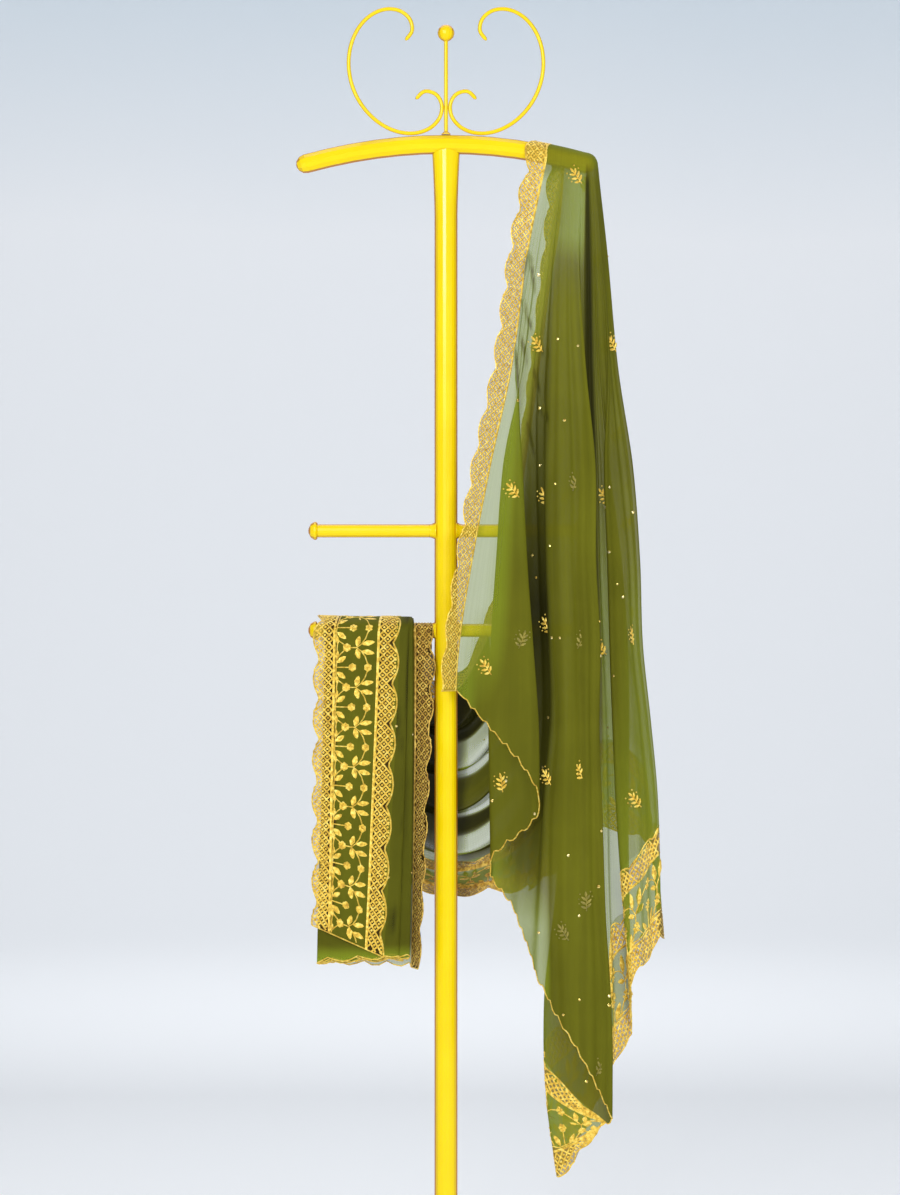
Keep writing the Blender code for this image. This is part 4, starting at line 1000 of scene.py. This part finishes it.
def lattice(stitches, place, length, low, high, edgeOut, innerOut=lambda along: 0.0):
    # crossing slanting threads with a knot in each diamond
    period = thread["period"]
    steps = 8
    for k in range(-3, int(length / period) + 3):
        for direction in (-1, 1):
            path = []
            for i in range(steps + 1):
                out = low + (high - low) * i / steps
                along = k * period + direction * (out - low)
                if 0.0 <= along <= length and innerOut(along) < out <= edgeOut(along) - thread["inset"]:
                    path.append(place(along, out))
                else:
                    stitches.strand(path, thread["lattice"], thread["lift"])
                    path = []
            stitches.strand(path, thread["lattice"], thread["lift"])
    half = 0.5 * period
    for p in range(1, int(length / half)):
        for q in range(1, int((high - low) / half) + 1):
            out = low + q * half
            along = p * half
            inside = innerOut(along) + knot["inset"] < out < min(high, edgeOut(along)) - knot["inset"]
            if (p + q) % 2 and inside:
                point, normal = place(along, out)
                ahead, _ = place(along + knot["inset"], out)
                stitches.dot(point, normal, ahead - point, knot["size"], knot["lift"])


# one repeat of the vine, in millimetres: along the border, and out from the inner gold line
vineStems = (((0, 54), (0, 34)), ((-9, 53), (0, 54), (10, 54)), ((17, 51), (22, 44), (26, 39), (34, 48), (40, 53)),
             ((26, 39), (26, 33), (26, 27)), ((26, 27), (21, 20), (14, 15), (6, 12), (0, 11)),
             ((26, 27), (31, 20), (38, 15), (46, 12), (52, 11)), ((10, 54), (17, 52), (26, 53), (40, 53), (52, 54)))
vineLeaves = (((24.5, 27), (11, 23), 7.4), ((27.5, 27), (41, 23), 7.4), ((21.5, 20), (18.5, 2.5), 7.2),
              ((30.5, 20), (33.5, 2.5), 7.2), ((6, 53), (14.5, 41), 7.2), ((46, 53), (37.5, 41), 7.2),
              ((10, 53.5), (22, 52.0), 4.6), ((42, 53.5), (30, 52.0), 4.6))
vineFlowers = ((0, 32, 5.6), (0, 11, 5.6), (26, 40, 5.8))
vineChart = {"inset": 0.0008, "across": 0.0545, "start": 0.006, "end": 0.001, "leafLift": 0.0009, "eye": 0.0016,
             "eyeLift": 0.0015}
mm = 0.001


def vineAlong(stitches, place, length):
    shift = vine["low"] + vineChart["inset"]
    stretch = (vine["high"] - vine["low"] - 2.0 * vineChart["inset"]) / vineChart["across"]
    count = int(length / vine["repeat"]) + 1

    def at(d, w, start):
        return place(start + d * mm, shift + w * mm * stretch)

    for k in range(count):
        start = k * vine["repeat"] + vineChart["start"]

        def inside(*ds):
            return all(vineChart["end"] < start + d * mm < length - vineChart["end"] for d in ds)

        for stem in vineStems:
            path = []
            for (d0, w0), (d1, w1) in zip(stem, stem[1:]):
                for i in range(4):
                    d, w = d0 + (d1 - d0) * i / 4, w0 + (w1 - w0) * i / 4
                    if inside(d):
                        path.append(at(d, w, start))
            if inside(stem[-1][0]):
                path.append(at(*stem[-1], start))
            stitches.strand(path, thread["stem"], thread["lift"])
        for (d0, w0), (d1, w1), width in vineLeaves:
            if inside(d0, d1):
                base, normal = at(d0, w0, start)
                tip, _ = at(d1, w1, start)
                stitches.leaf(base, tip, normal, width * mm, vineChart["leafLift"])
        for d, w, size in vineFlowers:
            if inside(d - size, d + size):
                centre, normal = at(d, w, start)
                for t in spread(0.0, 2 * math.pi, 6)[:-1]:
                    tip, _ = at(d + size * math.cos(t), w + size * math.sin(t), start)
                    petal = centre + (tip - centre) * 0.2
                    stitches.leaf(petal, tip, normal, size * 0.85 * mm, vineChart["leafLift"], 0.6)
                stitches.dot(centre, normal, tip - centre, vineChart["eye"], vineChart["eyeLift"])


bandWork = {"line": 0.0018, "latticeFrom": 0.0035}
borderWork = {"innerTo": 0.0262, "innerEdge": 0.0268, "lines": (0.0275, 0.0850), "outerFrom": 0.0868}
for stretch, parts in sheetPieces.items():
    edging = Stitches()
    place, length, edgeOut = stripPlace(parts["band"], cloth["narrow"])
    lineAlong(edging, place, length, lambda along: bandWork["line"], thread["line"])
    lattice(edging, place, length, bandWork["latticeFrom"], cloth["narrow"], edgeOut)
    lineAlong(edging, place, length, edgeOut, thread["piping"], thread["piped"])
    # the narrow band off the front gets the gold darkened with painted shade
    edging.make(f"{stretch}_narrow_embroidery", goldThread if stretch == "front" else shadedThread, "gold_lace")
    edging = Stitches()
    place, length, edgeOut = stripPlace(parts["border"], cloth["wide"])
    lattice(edging, place, length, 0.0, borderWork["innerTo"], lambda along: borderWork["innerEdge"], innerScallop)
    lineAlong(edging, place, length, innerScallop, thread["piping"], thread["piped"])
    for out in borderWork["lines"]:
        lineAlong(edging, place, length, lambda along, out=out: out, thread["line"])
    vineAlong(edging, place, length)
    lattice(edging, place, length, borderWork["outerFrom"], cloth["wide"], edgeOut)
    lineAlong(edging, place, length, edgeOut, thread["piping"], thread["piped"])
    # the back and the swag get the gold darkened with painted shade
    lit = stretch in ("front", "peg")
    edging.make(f"{stretch}_wide_embroidery", goldThread if lit else shadedThread, "gold_lace")
print("borders embroidered")


# the two cut ends have only a thin gold piping
ends = Stitches()
pegParts = sheetPieces["peg"]
for line in (frontField[-1][:borderColumn + 1], frontBand["rows"][-1], pegParts["field"][-1],
             pegParts["band"]["rows"][-1], pegParts["border"]["rows"][-1], frontBorder["rows"][0]):
    ends.strand([(point, Vector((0, -1, 0))) for point in line], thread["endPiping"], thread["endPiped"])
ends.make("end_piping", goldThread, "gold_lace")

# sprigs and sequins of the field; a sprig's chart is in millimetres about the middle of the stem
sprig = {"rowsApart": 0.098, "across": 0.125, "apart": 0.085, "middle": 11, "above": 0.0006, "stem": 0.0015,
         "stemLift": 0.0008, "lift": 0.0010, "dot": 0.0011, "dotLift": 0.0009}
sequin = {"size": 0.0017, "frontSizes": (0.0016, 0.0023), "above": 0.0005, "frontAbove": 0.0006, "lift": 0.0008,
          "onFront": 60, "across": Vector((1, 0, 0.1))}
sprigStem = ((0, 0), (1.0, 6), (2.6, 12), (3.0, 18))
sprigLeaves = (((0.8, 4), (8.0, 8.5), 3.5), ((0.6, 3), (-6.0, 7.5), 3.5), ((1.9, 9), (9.2, 14), 3.5),
               ((1.6, 8), (-5.2, 13.5), 3.5), ((2.8, 14), (8.6, 20), 3.4), ((2.7, 13), (-3.0, 19.5), 3.4),
               ((3.0, 17), (3.8, 25), 3.4))
sprigDots = ((11.0, 17.0), (-7.5, 11.0), (-6.8, 16.8), (-4.0, 22.8), (9.8, 23.4))


def sprigAt(stitches, centre, normal, up, spin):
    up = up - normal * up.dot(normal)
    if up.length < 1e-9:
        return
    up = up.normalized()
    side = up.cross(normal)
    c, s = math.cos(spin), math.sin(spin)

    def at(x, y):
        y -= sprig["middle"]
        return centre + (side * (x * c - y * s) + up * (x * s + y * c)) * mm + normal * sprig["above"]

    stitches.strand([(at(x, y), normal) for x, y in sprigStem], sprig["stem"], sprig["stemLift"])
    for (x0, y0), (x1, y1), width in sprigLeaves:
        stitches.leaf(at(x0, y0), at(x1, y1), normal, width * mm, sprig["lift"])
    for x, y in sprigDots:
        stitches.dot(at(x, y), normal, side, sprig["dot"], sprig["dotLift"])


def gridPlace(rows):
    def place(i, j):
        i = min(max(i, 0.0), len(rows) - 1.001)
        j = min(max(j, 0.0), len(rows[0]) - 1.001)
        a, b = pick(rows[int(i)], j), pick(rows[int(i) + 1], j)
        across = pick(rows[int(i)], int(j) + 1) - pick(rows[int(i)], int(j))
        normal = across.cross(rows[int(i) + 1][int(j)] - rows[int(i)][int(j)])
        normal = normal.normalized() if normal.length > 1e-14 else Vector((0, -1, 0))
        return a.lerp(b, i - int(i)), normal
    return place


sprigDraw = random.Random(3)
for stretch in ("back", "swag", "peg"):
    rows = sheetPieces[stretch]["field"]
    place = gridPlace(rows)
    downs = runLengths([row[len(row) // 3] for row in rows])
    sprigs, sequins, placed = Stitches(), Stitches(), []
    for k in range(int(downs[-1] / sprig["rowsApart"]) + 1):
        i = bisect.bisect_right(downs, (k + 0.35) * sprig["rowsApart"]) - 1
        across = 0.05 + (0.5 * sprig["across"] if k % 2 else 0.0)
        while across < cloth["field"] - 0.03 and i < len(rows) - 3:
            j = across / cloth["field"] * (len(rows[0]) - 1)
            centre, normal = place(i, j)
            up = place(i - 0.6, j)[0] - place(i + 0.6, j)[0]
            bend = place(i, j - 3)[1].dot(place(i, j + 3)[1])
            if bend > 0.9 and all((centre - other).length > sprig["apart"] for other in placed):
                sprigAt(sprigs, centre, normal, up, sprigDraw.uniform(0.2, 1.1))
                placed.append(centre)
            point, normal = place(i + sprigDraw.uniform(1, 4), j + sprigDraw.uniform(2, 8))
            sequins.dot(point + normal * sequin["above"], normal, sequin["across"], sequin["size"], sequin["lift"])
            across += sprig["across"]
    sprigs.make(f"{stretch}_sprigs", goldThread, "gold_lace")
    sequins.make(f"{stretch}_sequins", sequinGold, "gold_lace")
    print(f"{stretch}: {len(placed)} sprigs")

# the front's sprigs where they show: across, height and lean, and those seen through an upper layer
FrontSprig = namedtuple("FrontSprig", "x z lean veiled", defaults=(False,))
frontSprigs = tuple(FrontSprig(*row) for row in (
    (0.168, 1.575, 0.8), (0.118, 1.357, 0.8), (0.214, 1.359, 0.7), (0.086, 1.167, 0.9),
    (0.126, 1.160, 0.5), (0.164, 1.179, -0.2, True), (0.204, 1.160, 0.8), (0.051, 0.939, 0.8),
    (0.096, 0.976, -0.2, True), (0.129, 0.993, 0.7), (0.172, 0.976, -0.3, True), (0.199, 0.964, 0.9),
    (0.070, 0.790, 0.3), (0.129, 0.798, 0.8), (0.170, 0.806, 0.6), (0.244, 0.767, 0.9),
    (0.240, 0.980, 0.4), (0.150, 0.600, 0.8, True), (0.178, 0.640, 0.2, True), (0.195, 0.427, -0.3, True)))
frontMesh = shells["front", "field"].data
frontTree = BVHTree.FromPolygons([v.co for v in frontMesh.vertices], [tuple(f.vertices) for f in frontMesh.polygons])


def onFront(x, z):
    # the cloth nearest the camera at this place
    point, normal, _, _ = frontTree.ray_cast(Vector((x, -1.0, z)), Vector((0, 1, 0)))
    if point is not None and normal.y > 0:
        normal = -normal
    return point, normal


sprigs, veiled, sequins = Stitches(), Stitches(), Stitches()
for row in frontSprigs:
    centre, normal = onFront(row.x, row.z)
    if centre is not None:
        sprigAt(veiled if row.veiled else sprigs, centre, normal, Vector((0, 0, 1)), row.lean)
for _ in range(sequin["onFront"]):
    z = sprigDraw.uniform(0.4, 1.52)
    centre, normal = onFront(sprigDraw.uniform(0.03, 0.27), z)
    if centre is not None and normal.y < -0.3:
        size = sprigDraw.uniform(*sequin["frontSizes"])
        sequins.dot(centre + normal * sequin["frontAbove"], normal, sequin["across"], size, sequin["lift"])
sprigs.make("front_sprigs", goldThread, "gold_lace")
veiled.make("front_sprigs_veiled", veiledThread, "gold_lace")
sequins.make("front_sequins", sequinGold, "gold_lace")
print("field embroidered")

# the flat cut of what shows of each stretch, in metres
Cut = namedtuple("Cut", "stretch part wide long area held restsOn")
cuts = tuple(Cut(*row) for row in (
    ("front", "field", cloth["field"], 1.250, 0.420, "hung", "bar"),
    ("front", "band", cloth["narrow"], 0.740, None, "hung", "front_net"),
    ("front", "border", cloth["wide"], 0.470, None, "hung", "front_net"),
    ("back", "field", cloth["field"], 0.480, 0.150, "gathered", "bar"),
    ("back", "band", cloth["narrow"], 0.660, None, "hung", "back_net"),
    ("back", "border", cloth["wide"], 0.230, None, "hung", "back_net"),
    ("swag", "field", 0.440, 0.310, None, "gathered", "peg_lower_left"),
    ("swag", "band", cloth["narrow"], 0.150, None, "gathered", "swag_net"),
    ("swag", "border", cloth["wide"], 0.300, None, "gathered", "swag_net"),
    ("peg", "field", cloth["field"], 0.550, None, "folded", "peg_lower_left"),
    ("peg", "band", cloth["narrow"], 0.530, None, "folded", "peg_net"),
    ("peg", "border", cloth["wide"], 0.560, None, "folded", "peg_net")))
for cut in cuts:
    names = {"field": ("sprigs", "sequins"), "band": ("narrow_embroidery",), "border": ("wide_embroidery",)}
    sewn = [f"{cut.stretch}_{name}" for name in names[cut.part]]
    if (cut.stretch, cut.part) == ("front", "field"):
        sewn += ["front_sprigs_veiled", "end_piping"]

# stand: rounder scrolls, and a bead of weld where each peg meets the pole
scroll = {"length": 0.40, "steps": 26, "finer": 6, "radius": 0.0026, "sides": 12, "room": 0.0006,
          "curl": 10.4, "tighter": 60.0, "rounded": 1.6, "tip": 0.12}


def tube(name, path, radii, sides):
    # a closed round rod along a path, across which radii give its size
    points, faces = [], []
    up = Vector((0, 1, 0))
    for i, (point, radius) in enumerate(zip(path, radii)):
        along = (path[min(i + 1, len(path) - 1)] - path[max(i - 1, 0)]).normalized()
        side = up.cross(along).normalized()
        other = along.cross(side)
        points += [point + (side * math.cos(t) + other * math.sin(t)) * radius
                   for t in spread(0.0, 2 * math.pi, sides)[:-1]]
    for i in range(len(path) - 1):
        for k in range(sides):
            a, b = i * sides + k, i * sides + (k + 1) % sides
            faces.append((a, b, b + sides, a + sides))
    faces += [tuple(range(sides))[::-1], tuple(range(len(points) - sides, len(points)))]
    made = makeMesh(name, points, faces, enamel)
    return made


x, z, heading = 0.0, 0.0, 0.0
line = [Vector((x, 0, z))]
for i in range(scroll["steps"]):
    curl = scroll["curl"] + scroll["tighter"] * abs((2 * i + 1) / scroll["steps"] - 1.0) ** 3
    step = scroll["length"] / scroll["steps"]
    heading += curl * step
    x += math.cos(heading) * step
    z += math.sin(heading) * step
    line.append(Vector((x, 0, z)))
beside = 2.0 * scroll["radius"] + stand["clearance"] - min(-point.x for point in line)
low = min(line, key=lambda point: point.z)
seat = barAxis(beside - low.x) + stand["barRadius"] + stand["clearance"] + scroll["radius"] + scroll["room"]
finer = spread(0, scroll["steps"], scroll["steps"] * scroll["finer"])
smooth = [smoothThrough(range(len(line)), line, at) for at in finer]
for side, sign in (("left", -1), ("right", 1)):
    path = [Vector((sign * (beside - p.x), 0.0, seat + p.z - low.z)) for p in smooth]
    radii = []
    for k in range(len(path)):
        inward = min(min(k, len(path) - 1 - k) / scroll["rounded"], 1.0)  # 0 at either tip
        radii.append(scroll["radius"] * math.sqrt(max(1.0 - (1.0 - inward) ** 2, scroll["tip"])))
    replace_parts(tube(f"scroll_rod_{side}", path, radii, scroll["sides"]), f"scroll_{side}")

weld = {"steps": 8, "sides": 28, "from": 0.0128, "long": 0.0090, "over": 0.0001, "grown": 0.0035}
for level, height in (("upper", stand["upperPegHeight"]), ("lower", stand["pegHeight"])):
    for side, sign in (("left", -1), ("right", 1)):
        path, radii = [], []
        for t in spread(0.0, 1.0, weld["steps"]):
            path.append(Vector((sign * (weld["from"] + weld["long"] * t), 0.0, height)))
            radii.append(stand["pegRadius"] + weld["over"] + weld["grown"] * (1.0 - math.sin(0.5 * math.pi * t)))
        tube(f"weld_{level}_{side}", path, radii, weld["sides"])
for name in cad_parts:
    node = bpy.data.objects.get(name)
    if node is None or name.endswith(("_field", "front_fall")) or "border" in name or "band" in name:
        continue  # cloth
    node.data.materials.clear()
    node.data.materials.append(plateEnamel if name == "base" else enamel)
print("stand finished")

# camera, light and floor
view = {"centre": (0.0052, 1.031), "wide": 1.170, "tall": 1195.0 / 900.0, "away": 4.2, "film": 36.0}
camera = bpy.data.cameras.new("camera")
camera.sensor_fit = "VERTICAL"
camera.sensor_height = view["film"]
camera.lens = view["film"] * view["away"] / (view["wide"] * view["tall"])
cameraObject = bpy.data.objects.new("camera", camera)
cameraObject.location = (view["centre"][0], -view["away"], view["centre"][1])
cameraObject.rotation_euler = (0.5 * math.pi, 0.0, 0.0)
bpy.context.scene.collection.objects.link(cameraObject)
bpy.context.scene.camera = cameraObject


def softLight(name, place, aim, size, power):
    lamp = bpy.data.lights.new(name, "AREA")
    lamp.size = size
    lamp.energy = power
    made = bpy.data.objects.new(name, lamp)
    made.location = place
    made.rotation_euler = (Vector(aim) - Vector(place)).to_track_quat("-Z", "Y").to_euler()
    made.visible_camera = False
    bpy.context.scene.collection.objects.link(made)


softLight("key", (-0.9, -3.6, 2.2), (0.0, 0.0, 1.0), 0.9, 78.0)
softLight("fill", (1.8, -3.2, 1.3), (0.0, 0.0, 1.0), 1.2, 34.0)
softLight("wall", (0.0, 2.6, 3.6), (0.0, 9.0, 3.4), 2.4, 118.0)
softLight("floor", (0.0, 1.3, 3.4), (0.0, 1.3, 0.0), 2.4, 44.0)
world = bpy.data.worlds.new("studio")
world.use_nodes = True
background = world.node_tree.nodes["Background"]
background.inputs["Color"].default_value = (0.88, 0.92, 0.97, 1.0)
background.inputs["Strength"].default_value = 0.48
bpy.context.scene.world = world
bpy.context.scene.view_settings.view_transform = "Standard"

# a round floor that curves up into a wall, wider than the camera's distance on every side
sweep = {"inner": (0.5, 2.0), "flat": 5.6, "radius": 3.6, "top": 4.8, "sides": 64, "steps": 16, "below": 0.0006,
         "paint": (0.92, 0.93, 0.95), "paintedShade": (0.70, 0.77, 0.83), "paintedShadeOver": 4.5, "paintedShadeFrom": 0.58, "paintedShadeTo": 0.82}
profile = [(r, 0.0) for r in (*sweep["inner"], sweep["flat"])]
profile += [(sweep["flat"] + sweep["radius"] * math.sin(a), sweep["radius"] * (1 - math.cos(a)))
            for a in spread(0.0, 0.5 * math.pi, sweep["steps"])[1:]]
profile += [(sweep["flat"] + sweep["radius"], sweep["top"])]
turns = spread(0.0, 2 * math.pi, sweep["sides"])[:-1]
floorPoints = [(r * math.cos(t), r * math.sin(t), z - sweep["below"]) for r, z in profile for t in turns]
sides = sweep["sides"]
floorFaces = [tuple(range(sides))]
for i in range(len(profile) - 1):
    for k in range(sides):
        a, b = i * sides + k, i * sides + (k + 1) % sides
        floorFaces.append((a, a + sides, b + sides, b))
floorMesh = bpy.data.meshes.new("studio_floor")
floorMesh.from_pydata(floorPoints, [], floorFaces)
floorMesh.shade_smooth()
floorPaint, floorTree, floorShader = nodeMaterial("pale floor", sweep["paint"], 0.9)
floorWhere = addNode(floorTree, "ShaderNodeTexCoord")
floorAxes = addNode(floorTree, "ShaderNodeSeparateXYZ")
floorTree.links.new(floorWhere.outputs["Object"], floorAxes.inputs["Vector"])
floorCloud = addNode(floorTree, "ShaderNodeTexNoise", Scale=0.7, Detail=1.0)
floorTree.links.new(floorWhere.outputs["Object"], floorCloud.inputs["Vector"])
# painted shade: the paint turns darker and bluer up the wall
floorHeight = mathNode(floorTree, "MULTIPLY_ADD", floorCloud.outputs["Fac"], 0.05,
                       mathNode(floorTree, "DIVIDE", floorAxes.outputs["Z"], sweep["paintedShadeOver"]))
floorStops = [(sweep["paintedShadeFrom"], sweep["paint"]), (sweep["paintedShadeTo"], sweep["paintedShade"])]
floorRamp = colourRamp(floorTree, floorHeight, floorStops)
floorTree.links.new(floorRamp.outputs["Color"], floorShader.inputs["Base Color"])
floor = bpy.data.objects.new("studio_floor", floorMesh)
floor.data.materials.append(floorPaint)
bpy.context.scene.collection.objects.link(floor)

print("scene ready")
